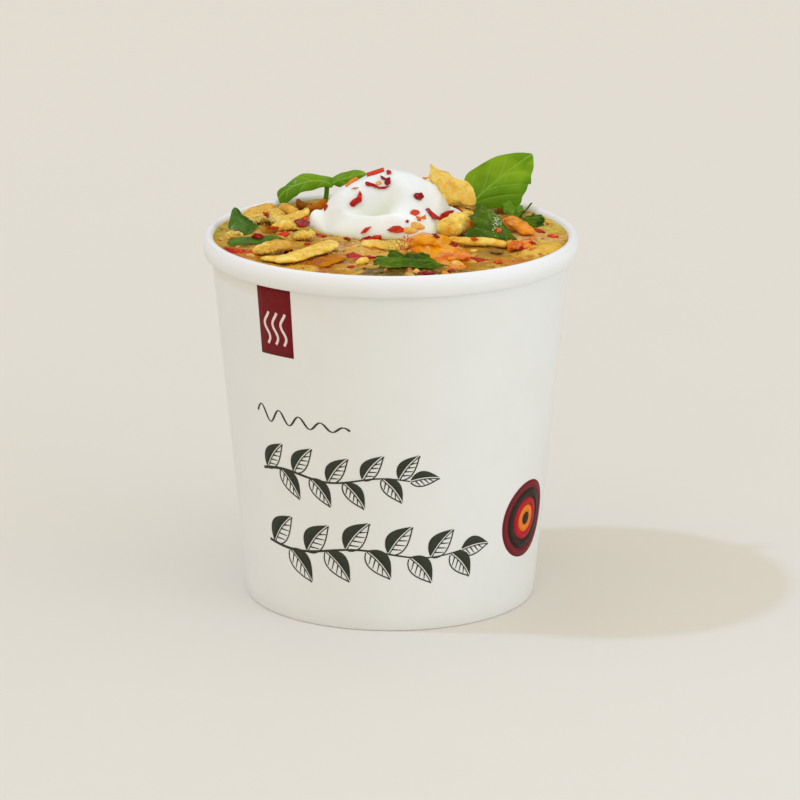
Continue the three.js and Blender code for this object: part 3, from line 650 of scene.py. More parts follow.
# Wet spots: the surface is as rough as when dry, but for scattered spots with a film of liquid.
wet, given, leaving = shared_effect("wet_spots", {
    "Place": "NodeSocketVector", "Scale": "NodeSocketFloat", "Dry": "NodeSocketFloat",
    "Wet": "NodeSocketFloat", "Share": "NodeSocketFloat", "Film": "NodeSocketFloat",
}, {"Roughness": "NodeSocketFloat", "Coat": "NodeSocketFloat"})
spots = grain(wet, given["Place"], given["Scale"], 2.0, 0.5)
limit = worked(wet, "SUBTRACT", 0.75, given["Share"])
wetness = ramped(wet, spots, limit, worked(wet, "ADD", limit, 0.08))
wet.links.new(ramped(wet, wetness, 0.0, 1.0, given["Dry"], given["Wet"]), leaving["Roughness"])
wet.links.new(worked(wet, "MULTIPLY", wetness, given["Film"]), leaving["Coat"])


def set_wet(tree, shader, place, scale, dry, moist, share, film=0.0):
    """Roughness, and the weight of a glossy film, from wet spots that cover a share of the surface."""
    sockets = {"Place": place, "Scale": scale, "Dry": dry, "Wet": moist, "Share": share, "Film": film}
    made = add_node(tree, "ShaderNodeGroup", sockets, node_tree=wet)
    tree.links.new(made.outputs["Roughness"], shader.inputs["Roughness"])
    if film:
        tree.links.new(made.outputs["Coat"], shader.inputs["Coat Weight"])
        shader.inputs["Coat Roughness"].default_value = FILM_ROUGHNESS


soup_finish, tree, shader, place = new_finish("vegetable_soup", paint(196, 150, 47), specular=0.08,
                                              radius=(2.4, 1.4, 0.5), roughness=0.36,
                                              subsurface_weight=0.35)
skin = patched(tree, place, 110.0, 0.36, 0.62, paint(170, 118, 22), paint(208, 162, 56), amount=1.0, bend=0.6)
skin = patched(tree, place, 170.0, 0.5, 0.62, skin, paint(146, 112, 16), amount=0.6, bend=0.5)
skin = patched(tree, place, 300.0, 0.54, 0.64, skin, paint(184, 92, 8), amount=0.7, bend=0.8)
for centre, reach, colour, share, _ in SOUP_ZONES.values():
    skin = zoned(tree, place, skin, centre, reach, colour, share)
skin = patched(tree, place, 430.0, 0.56, 0.66, skin, paint(188, 98, 12), amount=0.45, bend=0.8)
skin = patched(tree, place, 250.0, 0.54, 0.66, skin, paint(230, 194, 90), amount=0.5, bend=1.2)
skin = patched(tree, place, 520.0, 0.6, 0.7, skin, paint(122, 92, 5), amount=0.12, bend=0.6)
tree.links.new(skin, shader.inputs["Base Color"])
set_wet(tree, shader, place, 330.0, dry=0.4, moist=0.22, share=0.28, film=0.4)
set_bump(tree, shader, grain(tree, place, 480.0, 4.0, 0.6, 0.8), 0.18, 0.7)

LOWER_PARTS = np.array([0.5, 1.0])
points, faces = body_over_outline(soup_place, SOUP_STEPS, np.linspace(0, 1, 111)[1:] ** 0.85, LOWER_PARTS)
# The carriers are the pieces that flakes, crumbs and drops can lie on.
carriers = [make_piece("soup_body", points, faces, soup_finish, ["soup"])]


# The yoghurt: one spoonful, thick and moist. It stands in a tall fold with a shaded crease in front and
# spreads into a broad lip, whose thin edge lets the colour of the soup through.
YOGURT_CENTRE = (-2.0, 10.0)
YOGURT_REACH = [18, 24.5, 20, 17, 14.5, 17.5, 19.8, 15.6, 14.2, 13.8, 16.5, 16.5]
YOGURT_PLATE_HEIGHT = 3.8
YOGURT_DOMES = [
    {"x": 1.0, "y": 12.9, "wide": 15.7, "deep": 12.3, "high": 14.8},
    {"x": -9.3, "y": 9.9, "wide": 9.5, "deep": 9.3, "high": 11.8},
    {"x": -2.0, "y": 0.8, "wide": 17.5, "deep": 7.0, "high": 5.9},
    {"x": -22.9, "y": 8.4, "wide": 7.0, "deep": 8.9, "high": 9.0, "crown": 1.3, "fall": 1.0},
]
YOGURT_DOME_CROWN = 2.3
YOGURT_SOFTNESS = 1.5
YOGURT_SINK = YOGURT_SOFTNESS * math.log(4)
YOGURT_FURROW = np.array([(-13, 4.6), (-10, 3.4), (-7, 2.2), (-4, 1.6), (-1.4, 2.2), (0.6, 4.2), (1.6, 7)])
YOGURT_FURROW_WIDTH = 2.3
YOGURT_FURROW_DEPTH = [0.0, 0.3, 0.7, 1.1, 1.0, 0.5, 0.0]
YOGURT_EDGE = 0.5
YOGURT_STEPS = 300


def yogurt_reach(turn):
    """Reach of the spoonful at a turn about its centre, smooth between evenly spaced values."""
    values = np.array(YOGURT_REACH)
    spot = ((turn / (2 * np.pi)) % 1) * len(values)
    first = np.floor(spot).astype(int)
    part = spot - first
    share = part * part * (3 - 2 * part)
    before, after = values[first % len(values)], values[(first + 1) % len(values)]
    return before + (after - before) * share


def furrow_depth(x, y):
    """Depth of the curved furrow that the spoon left under the tall fold."""
    spots = np.stack([x, y], axis=-1)
    depth = np.zeros(len(spots))
    for k in range(len(YOGURT_FURROW) - 1):
        start, along = YOGURT_FURROW[k], YOGURT_FURROW[k + 1] - YOGURT_FURROW[k]
        part = np.clip((spots - start) @ along / (along @ along), 0, 1)
        away = np.linalg.norm(spots - start - part[:, None] * along, axis=1)
        low = YOGURT_FURROW_DEPTH[k] + part * (YOGURT_FURROW_DEPTH[k + 1] - YOGURT_FURROW_DEPTH[k])
        depth = np.maximum(depth, low * np.exp(-((away / YOGURT_FURROW_WIDTH) ** 2)))
    return depth


def yogurt_height(x, y, part):
    """Height of the yoghurt over the soup, at a part of its reach."""
    plate = YOGURT_PLATE_HEIGHT * np.sqrt(np.maximum(0, 1 - part ** 4))
    total = np.exp(plate / YOGURT_SOFTNESS)
    for dome in YOGURT_DOMES:
        away = np.hypot((x - dome["x"]) / dome["wide"], (y - dome["y"]) / dome["deep"])
        slope = np.maximum(0, 1 - away ** dome.get("crown", YOGURT_DOME_CROWN)) ** dome.get("fall", 0.75)
        high = dome["high"] * slope
        total = total + np.exp(high / YOGURT_SOFTNESS)
    height = YOGURT_SOFTNESS * np.log(total)
    height = height - YOGURT_SINK * np.exp(-height / 3)
    height = height - furrow_depth(np.ravel(x), np.ravel(y)).reshape(np.shape(x))
    return height * np.sqrt(np.clip(6 * (1 - part), 0, 1))


def yogurt_top(x, y):
    """Height of the yoghurt's surface, far down where there is none."""
    dx, dy = x - YOGURT_CENTRE[0], y - YOGURT_CENTRE[1]
    part = np.hypot(dx, dy) / yogurt_reach(np.arctan2(dy, dx))
    top = soup_top(x, y) + GAP + YOGURT_EDGE + yogurt_height(x, y, np.minimum(part, 1))
    return np.where(part >= 1, -1e9, top)


def yogurt_place(side, part, turn):
    """Points of the yoghurt's surface with its streaks, or of its bottom, which is sunk in the soup."""
    reach = part * yogurt_reach(turn)
    x = YOGURT_CENTRE[0] + reach * np.cos(turn)
    y = YOGURT_CENTRE[1] + reach * np.sin(turn)
    if side < 0:
        return np.stack([x, y, soup_top(x, y) - 0.5], axis=-1)
    flat = flat_spots(x, y)
    streaks = 0.22 * roughened(flat * [0.45, 1.0, 1.0], 3.4, 11, 2) + 0.07 * roughened(flat, 1.6, 13, 2)
    height = soup_top(x, y) + 0.2 + yogurt_height(x, y, part) * (1 + 0.012 * streaks)
    return np.stack([x, y, height + streaks * np.clip(8 * (1 - part), 0, 1)], axis=-1)


def field(tree, name):
    """Value that the points of a piece carry under a name."""
    return add_node(tree, "ShaderNodeAttribute", attribute_name=name).outputs["Fac"]


yogurt_finish, tree, shader, place = new_finish("thick_yogurt", paint(236, 240, 243), specular=0.2,
                                                radius=(2.6, 2.5, 2.3), roughness=0.36,
                                                subsurface_weight=0.5)
# Painted light: the low parts are whiter and glow faintly blue-green, so they look as brightly lit as the
# top.
painted_light_low = field(tree, "low")
cream = patched(tree, place, 160.0, 0.35, 0.65, paint(236, 240, 242), paint(240, 244, 247))
cream = blended(tree, painted_light_low, cream, paint(250, 254, 255))
# Painted shade: the furrow under the tall fold is tinted greyish yellow.
cream = blended(tree, worked(tree, "MULTIPLY", field(tree, "painted_crease_shade"), 0.75), cream, paint(212, 211, 184))
cream = blended(tree, worked(tree, "MULTIPLY", field(tree, "thin"), 0.8), cream, paint(240, 232, 160))
tree.links.new(cream, shader.inputs["Base Color"])
painted_glow = blended(tree, painted_light_low, paint(0, 0, 0), (0.01, 0.05, 0.045, 1.0))
tree.links.new(painted_glow, shader.inputs["Emission Color"])
shader.inputs["Emission Strength"].default_value = 1.0
set_bump(tree, shader, grain(tree, place, 500.0, 3.0), 0.05, 0.5)

upper_parts = np.sin(np.linspace(0, np.pi / 2, 91)[1:])
points, faces = body_over_outline(yogurt_place, YOGURT_STEPS, upper_parts, LOWER_PARTS)
lift_over_soup = points[:, 2] - soup_top(points[:, 0], points[:, 1])
carriers.append(make_piece("yogurt_spoonful", points, faces, yogurt_finish, ["yogurt"], {
    "thin": np.clip(1 - lift_over_soup / 1.6, 0, 1) ** 1.2,
    # painted light on the low parts
    "low": np.clip(1 - (lift_over_soup - 2) / 7, 0, 1),
    # painted shade in the furrow
    "painted_crease_shade": np.clip(furrow_depth(points[:, 0], points[:, 1]), 0, 1),
}, crease=80))


# The crisps: strips, curls and crumbs of golden fried dough, rough with blisters and darker in the pits
# and along the broken edges. They lie on the soup and the yoghurt, and one stands on its end.
SOLID_WELD_DISTANCE = 0.002


def refined(node, levels, fill=1.0, blunt=0.5):
    """Points and faces of a node's solid, made finer and rounder, filled out, and blunter at its ends."""
    source = bmesh.new()
    source.from_mesh(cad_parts[node].data)
    bmesh.ops.remove_doubles(source, verts=source.verts, dist=SOLID_WELD_DISTANCE * MM)
    mesh = bpy.data.meshes.new("refining")
    source.to_mesh(mesh)
    source.free()
    holder = bpy.data.objects.new("refining", mesh)
    scene.collection.objects.link(holder)
    finer = holder.modifiers.new("finer", "SUBSURF")
    finer.levels = levels
    finer.render_levels = levels
    done = bpy.data.meshes.new_from_object(holder.evaluated_get(bpy.context.evaluated_depsgraph_get()))
    bpy.data.objects.remove(holder)
    bpy.data.meshes.remove(mesh)
    points = np.array([vertex.co for vertex in done.vertices]) / MM
    normals = np.array([vertex.normal for vertex in done.vertices])
    faces = [list(polygon.vertices) for polygon in done.polygons]
    bpy.data.meshes.remove(done)
    centred = points - points.mean(0)
    long_way = np.linalg.svd(centred[::7], full_matrices=False)[2][0]
    along = centred @ long_way
    outward = centred - along[:, None] * long_way
    points = points + outward * (fill - 1 + blunt * np.abs(along / np.abs(along).max()) ** 2.5)[:, None]
    return points, normals, faces


def fitted(points, node):
    """Points stretched to the box of a node's solid."""
    low, high = (np.array(corner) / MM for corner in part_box(node))
    now_low, now_high = points.min(0), points.max(0)
    return low + (points - now_low) * (high - low) / (now_high - now_low)


def blistered(points, normals, seed, big, small):
    """Points pushed in and out into folds, blisters and grains, and how raised each is, from 0 to 1."""
    shift = Vector((seed * 3.1, seed * 1.7, seed * 2.3))
    cells = np.array([noise.voronoi(Vector(p) / 1.3 + shift)[0][0] for p in points.tolist()])
    folds = roughened(points, 3.4, seed, 2)
    creases = 0.35 - np.abs(roughened(points, 2.6, seed + 20, 2))
    grains = roughened(points, 0.55, seed + 50, 2)
    relief = big * (folds + 0.7 * creases) + small * ((0.45 - cells) * 1.4 + 0.5 * grains)
    raised = np.clip(0.5 + relief / (2.0 * (big + small)), 0, 1)
    return points + normals * relief[:, None], raised


crisp_finish, tree, shader, place = new_finish("fried_crisp", paint(228, 184, 74), specular=0.1,
                                               radius=(2.2, 1.5, 0.6), roughness=0.45,
                                               subsurface_weight=0.4)
raised = field(tree, "raised")
gold = blended(tree, ramped(tree, raised, 0.2, 0.46), paint(228, 166, 56), paint(242, 196, 74))
gold = blended(tree, ramped(tree, raised, 0.46, 0.72), gold, paint(252, 222, 120))
gold = patched(tree, place, 240.0, 0.5, 0.7, gold, paint(222, 170, 52), amount=0.45)
gold = patched(tree, place, 180.0, 0.5, 0.66, gold, paint(240, 200, 92), amount=0.6)
gold = blended(tree, field(tree, "toasted"), gold, paint(180, 98, 10))
gold = patched(tree, place, 1200.0, 0.6, 0.7, gold, paint(206, 130, 30), amount=0.25)
# Painted shadow: the right side of the crisp on the right, away from the lamp, is darker orange-brown.
gold = zoned(tree, place, gold, (22.6, 3.0), (2.4, 5.0), paint(206, 112, 20), 0.85)
tree.links.new(gold, shader.inputs["Base Color"])
set_wet(tree, shader, place, 800.0, dry=0.46, moist=0.22, share=0.26, film=0.3)
set_bump(tree, shader, grain(tree, place, 1100.0, 2.0, 0.5), 0.05, 0.8)

# How toasted each crisp is, from pale to brown, how much it is filled out, and its folds and blisters.
CRISPS = {
    "crisp_right": (0.0, 1.0, 0.3, 0.14), "crisp_strip_right": (0.0, 1.1, 0.2, 0.1),
    "crisp_strip_front": (-0.1, 1.1, 0.24, 0.1), "crisp_mound_left": (0.3, 0.95, 0.34, 0.14),
    "crisp_crumb_left": (-0.3, 1.1, 0.2, 0.14), "crisp_back_strip": (0.4, 1.1, 0.3, 0.14),
    "crisp_back_left": (0.25, 1.1, 0.44, 0.16), "crisp_back_mid": (0.1, 1.1, 0.44, 0.18),
    "crisp_side": (0.05, 1.15, 0.44, 0.18), "crisp_side_low": (0.1, 1.1, 0.4, 0.16),
    "crisp_crescent": (0.2, 1.1, 0.24, 0.1), "crouton_front": (0.0, 1.1, 0.2, 0.1),
    "crisp_front": (0.2, 1.15, 0.4, 0.16), "crisp_behind_left": (0.2, 1.1, 0.4, 0.2),
    "crisp_behind_right": (0.1, 1.1, 0.4, 0.2), "crisp_behind_far": (0.15, 1.1, 0.4, 0.2),
}
for seed, (node, (toast, fill, folds, blisters)) in enumerate(CRISPS.items()):
    points, normals, faces = refined(node, 3, fill)
    points, raised_values = blistered(points, normals, seed + 1, folds, blisters)
    points = fitted(points, node)
    browner = roughened(points, 6.0, seed + 90, 2)
    toasted_values = np.clip(toast + 0.35 * browner, 0, 1)
    carriers.append(make_piece("fried_" + node, points, faces, crisp_finish, [node],
                               {"raised": raised_values, "toasted": toasted_values}, crease=75))


def leaf_axes(leaf, part):
    """Middle line of a leaf or a flat crisp at parts of its length, and the ways across and out of it."""
    heading, start, bend = (math.radians(leaf[key]) for key in ("heading", "climb", "droop"))
    roll = math.radians(leaf.get("roll", 0))
    slope = start - bend * part
    run = leaf["long"] * (math.sin(start) - np.sin(slope)) / bend
    rise = leaf["long"] * (np.cos(slope) - math.cos(start)) / bend
    ahead = np.array([math.cos(heading), math.sin(heading), 0.0])
    left = np.array([-ahead[1], ahead[0], 0.0])
    up = -np.sin(slope)[:, None] * ahead + np.cos(slope)[:, None] * np.array([0, 0, 1.0])
    middle = np.array(leaf["root"]) + run[:, None] * ahead + rise[:, None] * np.array([0, 0, 1.0])
    across = math.cos(roll) * left + math.sin(roll) * up
    facing = math.cos(roll) * up - math.sin(roll) * left
    return middle, across, facing


def corner_outline(corners):
    """Outline through corners of (part of the length, part of the width aside), rounded between them."""
    ring = np.array(corners, float)

    def outline(turn):
        spot = (turn / (2 * np.pi) % 1) * len(ring)
        first = np.floor(spot).astype(int)
        t = (spot - first)[:, None]
        before, start, end, after = (ring[(first + step) % len(ring)] for step in (-1, 0, 1, 2))
        curve = 2 * start + (end - before) * t + (2 * before - 5 * start + 4 * end - after) * t ** 2
        curve = 0.5 * (curve + (3 * start - 3 * end + after - before) * t ** 3)
        return curve[:, 0], curve[:, 1]
    return outline


# The one that stands is a thin bent sheet with a ragged outline, leaning against the yoghurt.
STANDING = {"root": (22.4, 9.6, 102.6), "heading": 144, "climb": 40, "droop": 16, "roll": -58,
            "long": 16.8, "wide": 3.4}
STANDING_CENTRE = (0.46, 0.4)
STANDING_THICKNESS = 1.5
STANDING_STEPS = 220
STANDING_PARTS = np.linspace(0, 1, 36)[1:]
standing_outline = corner_outline([
    (1.02, 0.06), (0.9, 0.1), (0.82, 0.02), (0.70, -0.2), (0.6, -0.18), (0.5, -0.3), (0.36, -0.66),
    (0.21, -0.62), (0.057, -0.25), (0.0, 0.12), (0.06, 0.5), (0.13, 0.74), (0.22, 0.86), (0.31, 1.16),
    (0.47, 1.2), (0.6, 1.34), (0.70, 1.16), (0.79, 1.22), (0.9, 1.06), (0.95, 0.6),
])


def standing_place(side, part, turn):
    """Points of the bent sheet's two faces, which are wavy, bubbled and frayed at the edge."""
    along, aside = standing_outline(turn)
    spot = STANDING_CENTRE[0] + part * (along - STANDING_CENTRE[0])
    offset = (STANDING_CENTRE[1] + part * (aside - STANDING_CENTRE[1])) * STANDING["wide"]
    middle, across, facing = leaf_axes(STANDING, spot)
    points = middle + across * offset[:, None]
    wave = 0.6 * roughened(points, 5.0, 61, 1) + 0.15 * roughened(points, 2.0, 62, 2)
    bubble = 0.24 * np.abs(roughened(points, 1.6, 63 + side, 2)) + 0.12 * roughened(points, 0.6, 65, 2)
    half = STANDING_THICKNESS / 2 * np.sqrt(np.clip(1.02 - part ** 3, 0, 1)) * (0.7 + bubble)
    edge_fray = 0.14 * roughened(points, 0.9, 66, 2) * part ** 4
    return points + facing * (wave + side * half)[:, None] + across * edge_fray[:, None]


points, faces = body_over_outline(standing_place, STANDING_STEPS, STANDING_PARTS, STANDING_PARTS)
part = np.tile(np.append(0, np.repeat(STANDING_PARTS, STANDING_STEPS)), 2)
at_edge = np.clip(0.9 * (part - 0.86) / 0.14, 0, 1)
carriers.append(make_piece("fried_crisp_standing", points, faces, crisp_finish, ["crisp_standing"], {
    "raised": np.clip(0.66 + 0.3 * roughened(points, 1.8, 67, 3), 0, 1),
    "toasted": at_edge * np.clip(0.25 + roughened(points, 3.0, 68, 2), 0, 0.8) + 0.16,
}, crease=75))


# The roasted vegetables: wet tomato flesh with yellow jelly, strips of oily amber pepper roasted brown at
# the back, and a grey-brown slice of mushroom. They are sunk in the soup to various depths.
tomato_finish, tree, shader, place = new_finish("wet_tomato", paint(226, 126, 30), specular=0.1,
                                                radius=(1.6, 0.9, 0.3), roughness=0.25,
                                                subsurface_weight=0.2)
flesh = patched(tree, place, 150.0, 0.4, 0.6, paint(222, 100, 6), paint(236, 146, 24), amount=1.0, bend=0.5)
flesh = zoned(tree, place, flesh, (5.0, -13.0), (5.0, 8.0), paint(236, 146, 50), 0.8)
flesh = zoned(tree, place, flesh, (11.5, -19.0), (5.0, 8.0), paint(240, 162, 0), 0.9)
flesh = zoned(tree, place, flesh, (34.0, 2.0), (5.0, 7.0), paint(238, 150, 30), 0.85)
flesh = zoned(tree, place, flesh, (30.2, 9.8), (2.4, 3.6), paint(246, 212, 176), 0.9)
flesh = patched(tree, place, 420.0, 0.54, 0.64, flesh, paint(218, 90, 0), amount=0.5, bend=0.6)
flesh = patched(tree, place, 620.0, 0.6, 0.72, flesh, paint(244, 180, 70), amount=0.2, bend=1.0)
tree.links.new(flesh, shader.inputs["Base Color"])
set_wet(tree, shader, place, 450.0, dry=0.32, moist=0.16, share=0.3, film=0.8)
set_bump(tree, shader, grain(tree, place, 420.0, 2.0, 0.5, 1.0), 0.2, 0.8)

pepper_finish, tree, shader, place = new_finish("roasted_pepper", paint(184, 118, 10), specular=0.05,
                                                radius=(1.4, 0.7, 0.15), roughness=0.3,
                                                subsurface_weight=0.2)
amber = patched(tree, place, 150.0, 0.4, 0.6, paint(172, 92, 0), paint(196, 122, 0))
amber = zoned(tree, place, amber, (-24.0, 28.0), (4.5, 6.0), paint(122, 72, 0), 0.95)
amber = zoned(tree, place, amber, (27.5, -18.0), (5.0, 4.0), paint(140, 104, 48), 0.95)
tree.links.new(amber, shader.inputs["Base Color"])
set_wet(tree, shader, place, 500.0, dry=0.34, moist=0.16, share=0.22, film=0.35)
set_bump(tree, shader, grain(tree, place, 520.0, 3.0), 0.14, 0.7)

VEGETABLES = [
    "tomato_front", "tomato_front_low", "tomato_right", "tomato_right_low", "tomato_behind",
    "tomato_behind_right", "pepper_behind", "pepper_back_left", "pepper_back", "pepper_front",
    "mushroom_right",
]
for seed, node in enumerate(VEGETABLES):
    kind, finish, folds = "pepper", pepper_finish, 0.4
    if node.startswith("tomato"):
        kind, finish, folds = "tomato", tomato_finish, 0.55
    points, normals, faces = refined(node, 3)
    points, _ = blistered(points, normals, seed + 70, folds, 0.06)
    points = fitted(points, node)
    carriers.append(make_piece("roasted_" + node, points, faces, finish, [node], crease=75))

# The pulp that has run out of the tomato at the front lies round it as a low wet mass.
PULP_CENTRE = (12.0, -18.0)
PULP_PEAK = (10, -15)
PULP_HEIGHT = 3.2
pulp_outline = corner_outline([
    (19.5, -17), (16, -10.6), (10, -7.6), (4.8, -8), (2.8, -11), (5, -17), (8.5, -23), (11.5, -29),
    (14.5, -34), (18.5, -34.4), (20.4, -29), (20.8, -22),
])


def pulp_place(side, part, turn):
    """Points of the lumpy pulp, highest beside the tomato, or of its bottom in the soup."""
    edge_x, edge_y = pulp_outline(turn)
    x = PULP_CENTRE[0] + part * (edge_x - PULP_CENTRE[0])
    y = PULP_CENTRE[1] + part * (edge_y - PULP_CENTRE[1])
    base = soup_skin(x, y) - 0.3
    if side < 0:
        return np.stack([x, y, base - 1.0], axis=-1)
    near_peak = np.exp(-((x - PULP_PEAK[0]) / 9) ** 2 - ((y - PULP_PEAK[1]) / 11) ** 2)
    flat = flat_spots(x, y)
    lumps = 0.6 * roughened(flat, 3.0, 31, 2) + 0.08 * roughened(flat, 1.2, 32, 2)
    rise = (PULP_HEIGHT * (0.3 + 0.7 * near_peak) + lumps) * (1 - part ** 4) ** 0.7
    return np.stack([x, y, base + rise], axis=-1)


points, faces = body_over_outline(pulp_place, 160, np.linspace(0, 1, 41)[1:], LOWER_PARTS)
carriers.append(make_piece("tomato_pulp", points, faces, tomato_finish, crease=80))


# The herbs: thin fresh leaves, each modelled with its folded midrib, its side veins and the swollen
# fields between them. Basil is broad and light green, coriander is lobed and dark green.
LEAF_THICKNESS = 0.4
LEAF_RIPPLE = 0.25
LEAF_STEPS = 200
TEETH = 26


def ovate_outline(turn):
    """Plain pointed oval, broadest a little before its middle."""
    part = 0.5 - 0.5 * np.cos(turn)
    return part, np.sign(np.sin(turn)) * np.abs(np.sin(np.pi * part ** 0.68)) ** 0.75


def vein_rows(spot, offset, leaf):
    """Where each point lies among the side veins, a whole number on each, and the swelling between them."""
    aside = np.abs(offset) / leaf["wide"]
    curved = spot - leaf.get("sweep", 0.34) * aside ** 0.8
    sides = []
    for starts in leaf["veins"]:
        wide = 0.25 if len(starts) < 2 else starts[1] - starts[0]
        places = [starts[0] - wide, *starts, starts[-1] + wide]
        rows = [-0.5, *range(len(starts)), len(starts) - 0.5]
        sides.append(np.interp(curved, places, rows))
    rows = np.where(offset > 0, sides[0], sides[1])
    swelling = np.abs(np.sin(np.pi * rows)) ** 0.6 * np.clip(2.5 * aside, 0, 1) * np.clip(1.3 - aside, 0, 1)
    return rows + 10, swelling


def grow_leaf(leaf):
    """Points and faces of one leaf, with its rows of veins, way from the midrib and way from the edge."""
    outline = leaf.get("outline", ovate_outline)
    relief = leaf.get("relief", 0.16)

    def spread(part, turn):
        along, aside = outline(turn)
        cut = 1 - leaf.get("teeth", 0) * np.abs(np.sin(TEETH / 2 * turn)) ** 2 * part ** 4
        return 0.5 + part * cut * (along - 0.5), part * cut * aside * leaf["wide"]

    def leaf_place(side, part, turn):
        spot, offset = spread(part, turn)
        middle, across, facing = leaf_axes(leaf, spot)
        _, swelling = vein_rows(spot, offset, leaf)
        wave = LEAF_RIPPLE * np.sin(9 * spot + 0.6 * offset)
        lift = leaf.get("fold", 0) * np.abs(offset) + wave + relief * swelling
        edge = leaf.get("ruffle", 0.2) * np.sin(leaf.get("waves", 5) * turn + 1.3) * part ** 6
        points = middle + across * offset[:, None] + facing * (lift + edge)[:, None]
        floor = np.maximum(soup_top(points[:, 0], points[:, 1]), yogurt_top(points[:, 0], points[:, 1]))
        floor = floor + 0.5 * GAP + LEAF_THICKNESS / 2 + leaf.get("clear", 0)
        points[:, 2] = np.maximum(points[:, 2], floor)
        half = LEAF_THICKNESS / 2 * np.sqrt(np.clip(4 * (1 - part), 0.15, 1))
        return points + facing * (side * half)[:, None]

    parts = np.linspace(0, 1, 37)[1:]
    points, faces = body_over_outline(leaf_place, LEAF_STEPS, parts, parts)
    part, turn = np.meshgrid(parts, turns_of(LEAF_STEPS), indexing="ij")
    spot, offset = spread(np.append(0, part.ravel()), np.append(0, turn.ravel()))
    rows, _ = vein_rows(spot, offset, leaf)
    fields = np.stack([rows, offset, np.append(0, part.ravel())], axis=-1)
    return points, faces, np.tile(fields, (2, 1))


def grow_stem(start, end, thick, sides=14, rings=8):
    """Round stem with a slight bow, closed at both ends."""
    part = np.linspace(0, 1, rings)
    line = np.array(start) + part[:, None] * (np.array(end) - np.array(start))
    line[:, 0] += 0.25 * np.sin(np.pi * part)
    circle = flat_spots(np.cos(turns_of(sides)), np.sin(turns_of(sides))) * thick / 2
    points = (line[:, None, :] + circle[None, :, :]).reshape(-1, 3)
    numbers, after = ring_numbers(rings, sides)
    faces = ring_quads(numbers, after) + [numbers[0].tolist(), numbers[-1].tolist()]
    return points, faces, np.full((len(points), 3), [0.5, 2, 0])


def gathered(parts):
    """Several bodies with their values, as one."""
    points, faces, values, count = [], [], [], 0
    for body_points, body_faces, body_values in parts:
        points.append(body_points)
        values.append(body_values)
        faces += [[index + count for index in face] for face in body_faces]
        count += len(body_points)
    return np.vstack(points), faces, np.concatenate(values)


# Veins: a midrib, and thin side veins where the row is a whole number, fainter near the edge.
veined, given, leaving = shared_effect("leaf_veins", {
    "Row": "NodeSocketFloat", "Offset": "NodeSocketFloat", "Part": "NodeSocketFloat",
}, {"Vein": "NodeSocketFloat", "Swell": "NodeSocketFloat"})
from_vein = worked(veined, "PINGPONG", given["Row"], 0.5)
side_vein = worked(veined, "MULTIPLY", ramped(veined, from_vein, 0.075, 0.02),
                   ramped(veined, given["Part"], 0.96, 0.5, 0.1, 0.85))
from_rib = worked(veined, "ABSOLUTE", given["Offset"])
veined.links.new(worked(veined, "MAXIMUM", side_vein, ramped(veined, from_rib, 0.34, 0.14)), leaving["Vein"])
veined.links.new(ramped(veined, from_vein, 0.0, 0.3), leaving["Swell"])


def leaf_finish(name, light, dark, vein, vein_share, specular, film, low=None, fresh=None):
    """Green of a kind of leaf: light and dark patches, paler veins, and glints where it is wet.

    Low is the painted shade of leaves near the soup, and fresh a brighter zone: centre, reach, colour and
    share.
    """
    finish, tree, shader, place = new_finish(name, light, specular=specular, radius=(0.3, 0.7, 0.1),
                                             roughness=0.4, subsurface_weight=0.12)
    fields = {label: field(tree, label.lower()) for label in ("Row", "Offset", "Part")}
    veins = add_node(tree, "ShaderNodeGroup", fields, node_tree=veined).outputs
    shade = patched(tree, place, 90.0, 0.4, 0.6, dark, light)
    shade = patched(tree, place, 1500.0, 0.45, 0.75, shade, dark, amount=0.3)
    # Painted light: the half on one side of the midrib is paler, as the side that the lamp lights, with its
    # sheen.
    shade = blended(tree, ramped(tree, fields["Offset"], -1.5, 1.5, 0.0, 0.35), shade, light)
    # Painted shade: leaves darken where they come down near the soup.
    if low:
        painted_shade_near_soup = ramped(tree, along_axis(tree, place, "Z"), 107 * MM, 100 * MM, 0.0, 0.8)
        shade = blended(tree, painted_shade_near_soup, shade, low)
    if fresh:
        shade = zoned(tree, place, shade, *fresh)
    shade = blended(tree, worked(tree, "MULTIPLY", veins["Vein"], vein_share), shade, vein)
    tree.links.new(shade, shader.inputs["Base Color"])
    set_wet(tree, shader, place, 1300.0, dry=0.4, moist=0.2, share=0.22, film=film)
    speckle = worked(tree, "MULTIPLY", grain(tree, place, 900.0, 3.0), 0.6)
    set_bump(tree, shader, worked(tree, "ADD", speckle, veins["Swell"]), 0.12, 0.7)
    return finish


# The basil's low colour is painted shade near the soup.
basil_finish = leaf_finish("basil", paint(132, 170, 24), paint(92, 136, 0), paint(160, 196, 70),
                           vein_share=0.42, specular=0.1, film=0.2, low=paint(78, 124, 0))
coriander_finish = leaf_finish("coriander", paint(82, 110, 0), paint(34, 68, 0), paint(106, 140, 40),
                               vein_share=0.4, specular=0.05, film=0.7,
                               fresh=((32.0, 17.5), (3.5, 4.5), paint(98, 142, 10), 0.75))
# Painted light: the coriander on the left is a paler copy, for the lamp that lights it from the left.
painted_light_coriander_finish = leaf_finish("coriander_left", paint(84, 122, 40), paint(50, 88, 6),
                                    paint(104, 144, 60), vein_share=0.2, specular=0.1, film=0.3)

